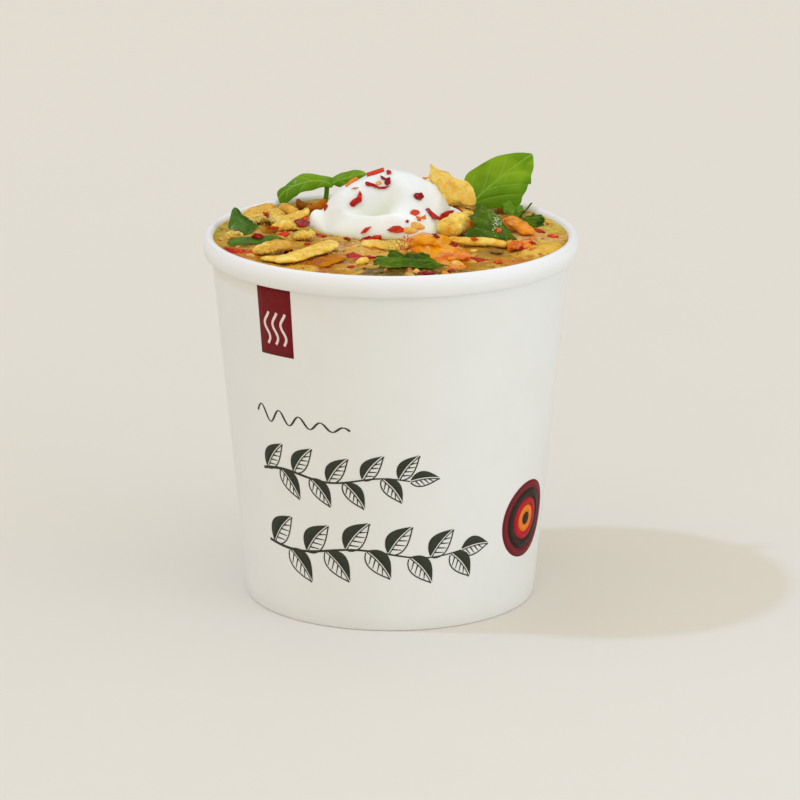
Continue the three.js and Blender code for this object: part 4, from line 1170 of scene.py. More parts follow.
SPRIG_TOP = (-16, 36, 101.6)
BASIL = {
    "basil_leaf": [
        {"root": (20.6, 25.8, 97.8), "heading": 21, "climb": 43, "droop": 16, "roll": 57, "long": 23,
         "wide": 7, "fold": 0.16, "relief": 0.4, "sweep": 0.5, "ruffle": 0.15,
         "veins": ([-0.3, -0.06, 0.2, 0.46], [-0.24, 0.04, 0.26, 0.54]),
         "outline": corner_outline([
             (0.04, 0.08), (0.13, 0.5), (0.18, 0.8), (0.26, 0.92), (0.35, 0.88), (0.48, 0.8), (0.6, 0.73),
             (0.69, 0.62), (0.78, 0.48), (0.88, 0.28), (0.96, 0.09), (0.985, 0.0), (0.97, -0.12),
             (0.94, -0.28), (0.89, -0.5), (0.81, -0.7), (0.75, -0.94), (0.72, -0.9), (0.65, -1.05),
             (0.56, -1.15), (0.49, -1.3), (0.4, -1.3), (0.3, -1.0), (0.15, -0.6),
         ])},
    ],
    "basil_sprig": [
        {"root": SPRIG_TOP, "heading": 184, "climb": 24, "droop": 80, "roll": -42, "long": 16.4,
         "wide": 4.2, "fold": -0.2, "relief": 0.2, "ruffle": 0.1, "sweep": 0.3,
         "veins": ([0.1, 0.4, 0.7], [0.02, 0.3, 0.6]),
         "outline": corner_outline([
             (-0.04, -0.1), (-0.02, -0.5), (0.03, -0.68), (0.12, -0.6), (0.23, -0.55), (0.35, -0.62),
             (0.45, -0.73), (0.54, -0.7), (0.66, -0.57), (0.76, -0.45), (0.86, -0.48), (0.92, -0.35),
             (0.98, 0.07), (1.01, 0.35), (0.95, 0.55), (0.84, 0.7), (0.74, 0.7), (0.66, 0.7), (0.59, 0.62),
             (0.48, 0.62), (0.34, 0.6), (0.18, 0.42), (0.09, 0.32), (-0.01, 0.23),
         ])},
        {"root": SPRIG_TOP, "heading": -2, "climb": 30, "droop": 26, "roll": 44, "long": 10.6,
         "wide": 2.9, "fold": -0.5, "relief": 0.2, "ruffle": 0.15,
         "veins": ([0.1, 0.45], [0.2, 0.55]),
         "outline": corner_outline([
             (0.0, 0.23), (0.01, 0.8), (0.15, 1.1), (0.31, 1.15), (0.45, 1.07), (0.6, 0.92), (0.79, 0.57),
             (0.93, 0.17), (1.03, -0.15), (0.87, -0.38), (0.68, -0.45), (0.48, -0.62), (0.3, -0.7),
             (0.12, -0.38),
         ])},
    ],
}
TRIFID = corner_outline([
    (0.0, 0.08), (0.1, 0.5), (0.16, 0.86), (0.27, 0.98), (0.36, 0.8), (0.4, 0.62), (0.5, 0.8), (0.62, 0.86),
    (0.7, 0.66), (0.74, 0.5), (0.86, 0.5), (0.95, 0.34), (0.96, 0.1), (1.0, -0.08), (0.94, -0.34),
    (0.8, -0.46), (0.73, -0.46), (0.7, -0.7), (0.58, -0.9), (0.47, -0.84), (0.4, -0.6), (0.33, -0.82),
    (0.22, -0.96), (0.12, -0.8), (0.06, -0.4),
])
FOLDED = corner_outline([
    (-0.14, 0.07), (0.02, 0.2), (0.11, 0.27), (0.24, 0.5), (0.35, 0.7), (0.46, 0.66), (0.65, 0.45),
    (0.85, 0.25), (0.94, 0.1), (0.97, -0.1), (0.91, -0.28), (0.77, -0.4), (0.72, -0.66), (0.6, -0.84),
    (0.54, -1.07), (0.45, -1.24), (0.36, -1.14), (0.22, -1.08), (0.16, -0.78), (0.04, -0.62), (-0.08, -0.3),
])
POINTED = corner_outline([
    (0.03, -0.07), (0.12, 0.16), (0.2, 0.1), (0.34, 0.34), (0.46, 0.3), (0.58, 0.5), (0.72, 0.3), (0.84, 0.3),
    (0.94, 0.0), (1.0, -0.2), (0.94, -0.6), (0.92, -1.05), (0.76, -1.2), (0.62, -1.6), (0.45, -1.6),
    (0.36, -1.3), (0.2, -1.2), (0.17, -0.53), (0.06, -0.35),
])
BROAD = corner_outline([
    (0.03, 0.02), (0.28, 0.38), (0.47, 0.88), (0.62, 0.8), (0.75, 0.85), (0.9, 0.6), (0.93, 0.12),
    (0.84, -0.2), (0.55, -0.35), (0.31, -0.3),
])
NARROW = corner_outline([
    (0.03, -0.05), (0.04, 0.3), (0.2, 0.34), (0.36, 0.62), (0.5, 0.5), (0.65, 0.67), (0.88, 0.38),
    (0.8, -0.03), (0.62, -0.2), (0.5, -0.46), (0.34, -0.26), (0.19, -0.28),
])
WIDE = corner_outline([
    (-0.1, -0.15), (-0.05, 0.4), (0.0, 0.62), (0.06, 0.97), (0.17, 1.17), (0.32, 1.0), (0.36, 0.8),
    (0.39, 0.66), (0.41, 0.65), (0.48, 0.7), (0.64, 0.77), (0.76, 0.75), (0.79, 0.57), (0.99, 0.38),
    (0.97, 0.1), (0.85, 0.02), (0.83, -0.18), (0.72, -0.26), (0.62, -0.48), (0.46, -0.36), (0.31, -0.45),
    (0.16, -0.62), (-0.01, -0.82),
])
FERNY = corner_outline([
    (-0.04, 0.2), (0.05, 0.32), (0.18, 0.75), (0.37, 0.95), (0.46, 0.8), (0.55, 0.92), (0.68, 1.2),
    (0.8, 1.25), (0.91, 1.1), (1.0, 0.5), (0.99, 0.02), (0.93, -0.1), (0.86, -0.02), (0.81, -0.06),
    (0.83, -0.36), (0.79, -0.67), (0.71, -0.54), (0.64, -0.16), (0.6, -0.18), (0.56, -0.46), (0.48, -0.5),
    (0.38, -0.46), (0.28, -0.36), (0.18, -0.14), (0.05, 0.1),
])
CORIANDER = {
    "coriander_left": [
        {"root": (-38.2, 1.8, 97), "heading": 113, "climb": 34, "droop": 8, "long": 9.2, "wide": 4.6,
         "fold": -0.5, "outline": FOLDED, "veins": ([0.1, 0.5], [0.2, 0.6]), "sweep": 0.5, "relief": 0.15,
         "ruffle": 0.1},
    ],
    "coriander_strip": [
        {"root": (-42.4, -12.4, 97), "heading": 21, "climb": 6, "droop": 10, "roll": 30, "long": 15,
         "wide": 1.5, "veins": ([0.5], [0.3]), "relief": 0.08, "ruffle": 0.1},
    ],
    "coriander_front": [
        {"root": (14.6, -34.4, 97), "heading": 167, "climb": 8, "droop": 14, "roll": -32, "long": 19.6,
         "wide": 5, "outline": FERNY, "veins": ([0.1, 0.4, 0.66], [0.2, 0.5, 0.7]), "sweep": 0.5,
         "relief": 0.4, "ruffle": 0.35, "waves": 7, "teeth": 0.1},
    ],
    "coriander_right": [
        {"root": (27.6, -8.2, 97.9), "heading": 103, "climb": 33, "droop": 20, "long": 14.6, "wide": 7,
         "fold": -0.25, "clear": 0.3, "outline": WIDE, "veins": ([0.0, 0.3, 0.62], [0.06, 0.36, 0.6]),
         "sweep": 0.5, "relief": 0.35, "ruffle": 0.4, "waves": 7, "teeth": 0.1},
    ],
    "coriander_back": [
        {"root": (32.4, 14.2, 97.2), "heading": 100, "climb": 50, "droop": 30, "long": 7, "wide": 3,
         "fold": -0.2, "outline": BROAD, "veins": ([0.1, 0.5], [0.2, 0.6]), "sweep": 0.5,
         "teeth": 0.12},
        {"root": (33.6, 13.6, 97.2), "heading": 74, "climb": 42, "droop": 30, "long": 6.6, "wide": 3,
         "fold": -0.2, "outline": NARROW, "veins": ([0.1, 0.5], [0.2, 0.6]), "sweep": 0.5},
        {"root": (33.6, 12.6, 97.4), "heading": 6, "climb": 14, "droop": 22, "roll": 40, "long": 7.4,
         "wide": 3.2, "fold": -0.1, "outline": POINTED, "veins": ([0.1, 0.5], [0.2, 0.6]), "sweep": 0.5,
         "teeth": 0.12},
    ],
    "coriander_behind": [
        {"root": (-2, 30, 97), "heading": 12, "climb": 8, "droop": 16, "long": 9, "wide": 3.6,
         "fold": -0.2, "outline": TRIFID, "veins": ([0.1, 0.5], [0.2, 0.6]), "sweep": 0.5},
    ],
}
STEMS = {
    "basil_sprig": ((-17.2, 36, 101.6), (-18, 36.4, SOUP_LEVEL - 0.3), 1.3),
    "coriander_back": ((33, 14, 97), (37.4, 21.6, 100), 0.6),
}
for node, leaves in {**BASIL, **CORIANDER}.items():
    kind = "basil" if node in BASIL else "coriander"
    finish = basil_finish if node in BASIL else coriander_finish
    if node in ("coriander_left", "coriander_strip"):
        finish = painted_light_coriander_finish
    parts = [grow_leaf(leaf) for leaf in leaves]
    if node in STEMS:
        parts.append(grow_stem(*STEMS[node]))
    points, faces, fields = gathered(parts)
    carriers.append(make_piece("fresh_" + node, points, faces, finish, [node],
                               dict(zip(("row", "offset", "part"), fields.T)), crease=60))


# The chilli: dried flakes and pale seeds, strewn over everything. Each that shows is laid along the line
# between two pixels of the picture, or out to the pixels of its outline, on the piece that is seen there.
FLAKE_THICKNESS = 0.4
FLAKE_LEAN = 0.3
FLAKE_LEAST_TURN = 0.4
PICTURE_SIZE = 800
FOCAL_PIXELS = LENS / SENSOR * PICTURE_SIZE
SEARCH_PIXELS = np.arange(0, 40, 0.5)

# The faces of all that a flake can lie on, as one search tree.
vertices, polygons = [], []
for piece in carriers:
    start = len(vertices)
    vertices += [vertex.co.copy() for vertex in piece.data.vertices]
    polygons += [[start + index for index in polygon.vertices] for polygon in piece.data.polygons]
carrier_tree = BVHTree.FromPolygons(vertices, polygons)


def towards(pixel):
    """Direction from the camera through a pixel."""
    across, down = (np.array(pixel) - PICTURE_SIZE / 2) / FOCAL_PIXELS
    return view_ahead + across * view_right - down * view_up


def seen_at(pixel):
    """Point and normal of what the camera sees at a pixel or just below it, in millimetres."""
    for lower in SEARCH_PIXELS:
        direction = Vector(towards((pixel[0], pixel[1] + lower))).normalized()
        spot, normal, _, _ = carrier_tree.ray_cast(Vector(CAMERA_PLACE * MM), direction)
        if spot is not None:
            return np.array(spot) / MM, np.array(normal)


def flake_shape(rng, long, wide):
    """Ragged angular chip about the origin, lying flat, slightly bent, with its long way along X."""
    corners = np.array([(-0.5, 0.1), (-0.22, 0.5), (0.16, 0.46), (0.5, -0.06), (0.2, -0.5), (-0.24, -0.42)])
    corners = corners + 0.24 * (rng.random((6, 2)) - 0.5) * [0.7, 1.0]
    middles = 0.5 * (corners + np.roll(corners, -1, axis=0)) + 0.1 * (rng.random((6, 2)) - 0.5)
    outline = np.stack([corners, middles], axis=1).reshape(-1, 2) * [long, wide]
    count = len(outline)
    bend = 0.16 * (rng.random() - 0.3) * outline[:, 0] ** 2 / max(1, 0.4 * long)
    bend = bend + 0.12 * (rng.random(count) - 0.5)
    rim_top = np.column_stack([outline, bend + FLAKE_THICKNESS])
    rim_low = np.column_stack([0.95 * outline, bend])
    centres = np.array([[0, 0, FLAKE_THICKNESS + 0.1], [0, 0, 0]])
    points = np.vstack([rim_top, rim_low, centres])
    faces = []
    for k in range(count):
        after = (k + 1) % count
        faces.append([2 * count, k, after])
        faces.append([k, count + k, count + after, after])
        faces.append([2 * count + 1, count + after, count + k])
    return points, faces


def seed_shape(rng, long, wide):
    """Flat teardrop about the origin, pointed at one end."""
    rings, sides = 9, 14
    part = np.linspace(0.03, 0.97, rings)
    swell = np.sin(np.pi * part ** 0.72) ** 0.7
    x = np.repeat(long * (part - 0.5), sides)
    y = (wide / 2 * swell[:, None] * np.cos(turns_of(sides))[None, :]).ravel()
    z = (0.42 * wide / 2 * swell[:, None] * np.sin(turns_of(sides))[None, :]).ravel()
    numbers, after = ring_numbers(rings, sides)
    faces = ring_quads(numbers, after) + [numbers[0].tolist(), numbers[-1].tolist()]
    return np.stack([x, y, z + 0.15], axis=-1), faces


def laid(shape, middle, along, normal):
    """Shape turned to lie at a place, its long way along a direction on the surface."""
    up = normal / np.linalg.norm(normal)
    ahead = along - up * np.dot(along, up)
    ahead = ahead / np.linalg.norm(ahead)
    left = np.cross(up, ahead)
    points, faces = shape
    return middle + points @ np.array([ahead, left, up]), faces


def on_plane(pixel, spot, facing):
    """Point of a plane, through a spot, that shows at a pixel."""
    direction = towards(pixel)
    return CAMERA_PLACE + (spot - CAMERA_PLACE) @ facing / (direction @ facing) * direction


def facing_of(normal):
    """Way that a flake on a surface faces: the normal, leant on towards the camera where it is edge-on."""
    facing = normal - FLAKE_LEAN * view_ahead
    facing = facing / np.linalg.norm(facing)
    facing = facing - max(0, FLAKE_LEAST_TURN + facing @ view_ahead) * view_ahead
    return facing / np.linalg.norm(facing)


def laid_at_pixels(maker, rng, first, second, wide):
    """Flake or seed from one pixel to another, lying on what is seen there."""
    middle, normal = seen_at(np.mean([first, second], axis=0))
    facing = facing_of(normal)
    along = on_plane(second, middle, facing) - on_plane(first, middle, facing)
    return laid(maker(rng, np.linalg.norm(along), wide), middle, along, facing)


DARK, RED, SCARLET, ORANGE = 0.0, 0.34, 0.67, 1.0
# Chips by their long way: its two ends, the width in millimetres, and the tone.
CHILLI = [
    ((325, 211), (327.5, 204.5), 1.1, RED), ((422, 177), (427.5, 176), 0.7, ORANGE),
    ((252, 237), (264, 236.5), 1.6, DARK), ((347, 268.2), (355, 267.4), 0.9, RED),
    ((304, 245), (310, 244.6), 1.4, RED), ((519, 247), (523, 250), 1.4, DARK),
    ((529, 243), (535, 243.6), 1.0, RED), ((405, 222), (409, 221.4), 0.8, DARK),
    ((296, 241), (301, 240.6), 1.0, DARK), ((495, 229), (501, 233), 1.5, SCARLET),
]
# Flakes whose outline shows: the tone, and the corners of the outline.
OUTLINED_CHILLI = [
    (SCARLET, [(366.4, 173.4), (383.6, 167.8), (384.4, 170.8), (377.6, 174.1), (367.1, 176.1)]),
    (RED, [(386.2, 171.4), (389, 170.6), (391.4, 171.6), (391, 173.8), (387, 174.6)]),
    (DARK, [(379.6, 175.4), (385.5, 178.2), (385.6, 180.7), (381.6, 178.9)]),
    (DARK, [(385.5, 178.6), (390.1, 177.2), (390.6, 183.3), (387.5, 185.9), (384.2, 183.3)]),
    (RED, [(365.1, 182.4), (367.8, 182), (375, 184.2), (379, 187.2), (375.7, 187.6), (371, 186),
           (365.8, 185.5)]),
    (RED, [(376.3, 187), (384.2, 187), (389.5, 186.4), (384.2, 189), (379, 189)]),
    (ORANGE, [(345.4, 186.3), (350, 180.9), (356.6, 176.9), (358.2, 179.3), (352.6, 182.8), (347.4, 186.6)]),
    (ORANGE, [(351.3, 189), (358.6, 187.2), (355.3, 189.4)]),
    (RED, [(349.3, 203.7), (352, 200.2), (356.6, 197.6), (361.8, 198.4), (361.6, 201.3), (357.9, 203.9),
           (353.9, 206.8), (350.7, 206)]),
    (SCARLET, [(356.6, 197.8), (359.7, 190.5), (361.8, 194.5), (361.8, 198.6)]),
    (DARK, [(413.2, 195.8), (415.1, 193.2), (421.7, 192.7), (423.9, 197.1), (420.4, 200.6), (416.2, 199.1)]),
    (SCARLET, [(409.7, 212.9), (411.8, 210.5), (417.8, 210.3), (420, 212.9), (415.8, 215.8), (411.8, 215.3)]),
    (ORANGE, [(415.8, 216.2), (420.4, 217.2), (425.2, 214.7), (426, 219.5), (421.7, 218.4), (420.2, 221.4),
              (417.6, 220.8)]),
    (RED, [(425.5, 208.9), (428.3, 208), (432.9, 212.7), (438.9, 216.8), (438.4, 219.7), (432.7, 219),
           (429.2, 214.4)]),
    (RED, [(438.2, 219), (440.8, 214), (447.4, 210.7), (453.9, 210.7), (451.3, 215.1), (444.7, 219.7),
           (440.8, 220.7)]),
    (SCARLET, [(360.3, 233.5), (365.6, 227.8), (371.9, 226.5), (365.8, 232.8), (361.2, 234.1)]),
    (SCARLET, [(386.6, 230), (393.4, 226.1), (400, 225.8), (404.1, 228.7), (403.3, 232.2), (397.4, 233.1),
               (390.8, 232.2)]),
    (RED, [(357.7, 241.2), (363.2, 237.7), (369.7, 235.7), (371.9, 237.2), (365.8, 240.7), (359.2, 242.3)]),
    (SCARLET, [(369.7, 238.6), (373.7, 235.3), (381.1, 234.8), (381.8, 239.2), (377.6, 242.7),
               (371.7, 241.4)]),
    (SCARLET, [(302.6, 219.5), (307.9, 213.4), (307.4, 218.2), (303.9, 221)]),
    (DARK, [(294, 221.4), (300, 219.3), (310.1, 222.1), (306.6, 226.9), (298, 226.7)]),
    (RED, [(314.3, 235.3), (319.7, 234.4), (327.2, 236.6), (319.7, 238.4)]),
    (DARK, [(343.2, 238.2), (346.1, 237), (351, 240), (348.7, 241)]),
    (DARK, [(432, 234.4), (435.5, 233.7), (439.9, 237.4), (436.2, 238.4)]),
    (DARK, [(448.5, 245.8), (451.3, 243), (457.6, 245.8), (454, 248.4)]),
    (RED, [(224, 247.8), (230, 248.6), (244, 250.4), (246.6, 253.4), (240, 254.8), (229, 252.6)]),
    (SCARLET, [(234, 249.4), (241, 249.8), (243, 252.8), (236, 253.4)]),
    (SCARLET, [(245.8, 252.4), (251, 250.8), (253.4, 254.8), (248.8, 257.2)]),
    (DARK, [(283.8, 252), (287, 250), (293, 250.6), (291.6, 254.6), (285.6, 255)]),
    (SCARLET, [(266, 228.8), (272, 226), (279, 226.6), (278, 230), (270, 230.2)]),
    (SCARLET, [(276, 236.4), (283, 232.4), (290, 233.6), (285, 237.4)]),
    (RED, [(263, 213), (268, 212.8), (269.6, 216), (265, 215.6)]),
    (DARK, [(251, 237), (257, 235.6), (264, 236.8), (258, 239.4)]),
    (RED, [(346.6, 254.4), (353, 253), (364, 257.4), (361, 260.6), (350, 259.8)]),
    (RED, [(362, 256.8), (370, 256.2), (377, 257.4), (369, 259)]),
    (DARK, [(417.6, 272.8), (426, 272), (436, 273.4), (430, 275), (420, 274.8)]),
    (DARK, [(447.6, 270.6), (453, 269.6), (456, 271.6), (450, 273.2)]),
    (RED, [(467.6, 257.4), (475, 257.6), (484, 259.6), (491.6, 262.6), (487, 264), (477, 262)]),
    (SCARLET, [(493.4, 261.6), (499, 260.8), (503, 263), (497, 264.4)]),
    (RED, [(533.6, 228.8), (540, 229.4), (545.6, 233), (539, 233.6)]),
    (SCARLET, [(546.6, 235.4), (553, 234.6), (560, 236.6), (553.6, 239)]),
    (SCARLET, [(470.4, 238.8), (474, 237.4), (478.4, 239.6), (473.6, 241)]),
]
# Seeds: the two ends, and the width in millimetres.
SEEDS = [
    ((410.4, 224.6), (425.4, 228), 2.2), ((403, 230.4), (418.6, 231), 2.0), ((376, 182.6), (382, 183.8), 1.3),
    ((449, 262), (464, 265.6), 2.4), ((464.5, 262), (480, 262.2), 2.3), ((413.5, 271), (420, 272), 1.9),
    ((504.5, 245.5), (512.5, 238.5), 1.9), ((470, 251.6), (478, 250.6), 1.2),
]

chilli_finish, tree, shader, place = new_finish("dried_chilli", paint(170, 20, 12), specular=0.15,
                                                roughness=0.4)
tone = field(tree, "tone")
chilli = blended(tree, ramped(tree, tone, DARK, RED), paint(138, 0, 8), paint(180, 10, 10))
chilli = blended(tree, ramped(tree, tone, RED, SCARLET), chilli, paint(214, 48, 14))
chilli = blended(tree, ramped(tree, tone, SCARLET, ORANGE), chilli, paint(240, 134, 20))
chilli = patched(tree, place, 900.0, 0.45, 0.7, chilli, paint(110, 0, 2), amount=0.35)
tree.links.new(chilli, shader.inputs["Base Color"])
set_wet(tree, shader, place, 900.0, dry=0.42, moist=0.2, share=0.25, film=0.5)
set_bump(tree, shader, grain(tree, place, 1100.0, 3.0), 0.12, 0.8)

seed_finish, tree, shader, place = new_finish("chilli_seed", paint(236, 190, 90), specular=0.5,
                                              radius=(0.8, 0.5, 0.2), roughness=0.3,
                                              subsurface_weight=0.2)
husk = patched(tree, place, 500.0, 0.35, 0.65, paint(244, 202, 96), paint(230, 156, 44))
tree.links.new(husk, shader.inputs["Base Color"])
set_wet(tree, shader, place, 900.0, dry=0.34, moist=0.16, share=0.25)
set_bump(tree, shader, grain(tree, place, 900.0, 2.0), 0.06, 0.5)


def drawn_numbers(state):
    """Repeatable numbers from 0 to 1, one after another."""
    while True:
        state = (state * 1664525 + 1013904223) % 4294967296
        yield state / 4294967296


# The far side has flakes too: a ring of them at even turns, each shifted by a drawn amount.
FAR_FLAKES = 18
FAR_FLAKES_SEED = 97
FAR_TURN_START, FAR_TURN_SPAN, FAR_TURN_SHIFT = 0.14, 0.7, 0.15
FAR_REACH_LEAST, FAR_REACH_SPREAD = 26, 16
FAR_LENGTH_LEAST, FAR_LENGTH_SPREAD = 2.6, 2
FAR_WIDTH_LEAST = 1.4
FLAKES_SEED = 7
rng = np.random.default_rng(FLAKES_SEED)
draws = drawn_numbers(FAR_FLAKES_SEED)
far_flakes, far_seeds = [], []
for k in range(FAR_FLAKES):
    turn = math.pi * (FAR_TURN_START + FAR_TURN_SPAN * (k + 0.5) / FAR_FLAKES) + FAR_TURN_SHIFT * next(draws)
    reach = FAR_REACH_LEAST + FAR_REACH_SPREAD * next(draws)
    x, y = reach * math.cos(turn), reach * math.sin(turn)
    long = FAR_LENGTH_LEAST + FAR_LENGTH_SPREAD * next(draws)
    wide = FAR_WIDTH_LEAST + next(draws)
    heading = math.pi * next(draws)
    along = np.array([math.cos(heading), math.sin(heading), 0.0])
    spot, normal, _, _ = carrier_tree.ray_cast(Vector((x, y, 2 * POT_HEIGHT)) * MM, Vector((0, 0, -1)))
    maker, gathering = (seed_shape, far_seeds) if k % 4 == 3 else (flake_shape, far_flakes)
    body = laid(maker(rng, long, wide), np.array(spot) / MM, along, np.array(normal))
    gathering.append((*body, np.full(len(body[0]), RED)))


def outlined_flake(rng, corners):
    """Thin curled chip whose outline the picture shows, on a plane that lies on what is seen there."""
    spot, normal = seen_at(np.mean(corners, axis=0))
    facing = facing_of(normal)
    corners = np.array(corners)
    middles = (corners + np.roll(corners, -1, axis=0)) / 2 + 0.3 * (rng.random(corners.shape) - 0.5)
    outline = np.stack([corners, middles], axis=1).reshape(-1, 2)
    ring = []
    for corner in outline:
        ring.append(on_plane(corner, spot + 0.3 * facing, facing))
    ring = np.array(ring) + facing * (0.3 * rng.random(len(ring)))[:, None]
    centre = ring.mean(0)
    inner = centre + 0.5 * (ring - centre) + facing * (0.25 * rng.random(len(ring)) - 0.1)[:, None]
    count = len(ring)
    points = np.vstack([ring + 0.1 * facing, inner + 0.16 * facing, [centre + 0.1 * facing],
                        ring - 0.22 * facing, [centre - 0.3 * facing]])
    faces = []
    for k in range(count):
        after = (k + 1) % count
        faces += [[k, after, count + after, count + k], [count + k, count + after, 2 * count],
                  [k, 2 * count + 1 + k, 2 * count + 1 + after, after],
                  [2 * count + 1 + after, 2 * count + 1 + k, 3 * count + 1]]
    return points, faces


flake_parts = []
for tone_value, corners in OUTLINED_CHILLI:
    points, faces = outlined_flake(rng, corners)
    flake_parts.append((points, faces, np.clip(tone_value + 0.14 * rng.normal(size=len(points)), 0, 1)))
for first, second, wide, tone_value in CHILLI:
    points, faces = laid_at_pixels(flake_shape, rng, first, second, wide)
    flake_parts.append((points, faces, np.clip(tone_value + 0.2 * rng.normal(size=len(points)), 0, 1)))
seed_parts = []
for first, second, wide in SEEDS:
    points, faces = laid_at_pixels(seed_shape, rng, first, second, wide)
    seed_parts.append((points, faces, np.zeros(len(points))))

points, faces, tones = gathered(flake_parts + far_flakes)
make_piece("chilli_flakes", points, faces, chilli_finish, fields={"tone": tones}, crease=50)
points, faces, _ = gathered(seed_parts + far_seeds)
make_piece("chilli_seeds", points, faces, seed_finish, crease=60)


# The grains: crumbs of fried crust that cling to the crisps, beads of wet pulp round the tomato, and pale
# droplets on the herbs, the tomato and the crisps, whose near-white is painted glint. Each lies where the
# camera sees a pixel inside an oval of the picture.
# Ovals: middle, half width and half height in pixels, how many, and least and greatest size.
CRUST_OVALS = [
    ((272, 218), (24, 8), 110, (0.3, 0.9)), ((267, 220), (9, 4), 40, (0.5, 1.3)),
    ((298, 232), (18, 9), 100, (0.3, 0.9)), ((395, 245), (14, 5), 50, (0.4, 1.2)),
    ((234, 235), (8, 4), 26, (0.4, 1.3)), ((456, 224), (12, 10), 30, (0.3, 0.8)),
    ((272, 249), (18, 5), 34, (0.3, 0.9)), ((306, 251), (38, 6), 40, (0.3, 0.7)),
]
PULP_OVALS = [
    ((440, 243), (14, 6), 26, (0.3, 0.8)), ((458, 262), (8, 4), 10, (0.4, 1.0)),
    ((518, 247), (10, 5), 14, (0.8, 2.0)), ((407, 239), (5, 3), 8, (0.5, 1.0)),
]
GLINT_DROP_OVALS = [
    ((497, 222), (5, 15), 80, (0.16, 0.36)), ((436, 243), (14, 5), 24, (0.1, 0.2)),
    ((268, 220), (20, 8), 30, (0.14, 0.3)), ((386, 265), (8, 2), 5, (0.2, 0.4)),
]
round_bead = bmesh.new()
bmesh.ops.create_icosphere(round_bead, subdivisions=2, radius=0.5)
bead_points = np.array([vertex.co for vertex in round_bead.verts])
bead_faces = [[vertex.index for vertex in face.verts] for face in round_bead.faces]
round_bead.free()


def strewn_grains(ovals, rng, height):
    """Uneven grains with a random value each, half sunk in what is seen inside some ovals."""
    parts = []
    for middle, half, count, (least, greatest) in ovals:
        for _ in range(count):
            turn, away = 2 * math.pi * rng.random(), math.sqrt(rng.random())
            spot, normal = seen_at((middle[0] + half[0] * away * math.cos(turn),
                                    middle[1] + half[1] * away * math.sin(turn)))
            size = least + (greatest - least) * rng.random() ** 1.6
            shape = bead_points * size * [1.0, 0.6 + 0.4 * rng.random(), height]
            shape = shape * (1 + 0.5 * roughened(bead_points * size, 0.5, rng.random() * 40, 1)[:, None])
            points, faces = laid((shape, bead_faces), spot, rng.normal(size=3), normal)
            parts.append((points, faces, np.full(len(points), rng.random())))
    return gathered(parts)


points, faces, values = strewn_grains(CRUST_OVALS, rng, 0.8)
make_piece("crust_grains", points, faces, crisp_finish, fields={
    "raised": 0.6 + 0.4 * values, "toasted": 0.25 * values ** 3}, crease=80)
points, faces, values = strewn_grains(PULP_OVALS, rng, 0.75)
make_piece("pulp_beads", points, faces, tomato_finish, crease=80)

# Painted highlight: the drops are pale, nearly white, for the glints of light on the wet surfaces.
painted_glint_finish, tree, shader, place = new_finish("painted_glint_drops", paint(206, 220, 190), specular=0.6,
                                             roughness=0.1)
painted_glint_tone = patched(tree, place, 900.0, 0.4, 0.6, paint(206, 220, 190), paint(244, 248, 240))
tree.links.new(painted_glint_tone, shader.inputs["Base Color"])
points, faces, values = strewn_grains(GLINT_DROP_OVALS, rng, 0.7)
make_piece("painted_glint_drops", points, faces, painted_glint_finish, crease=80)


# The small bits: diced onion, carrot, herb and crumbs that float in the top of the soup. Points are
# strewn over its skin, and a small uneven body is set half sunk at each.
BIT_TILT = 0.35


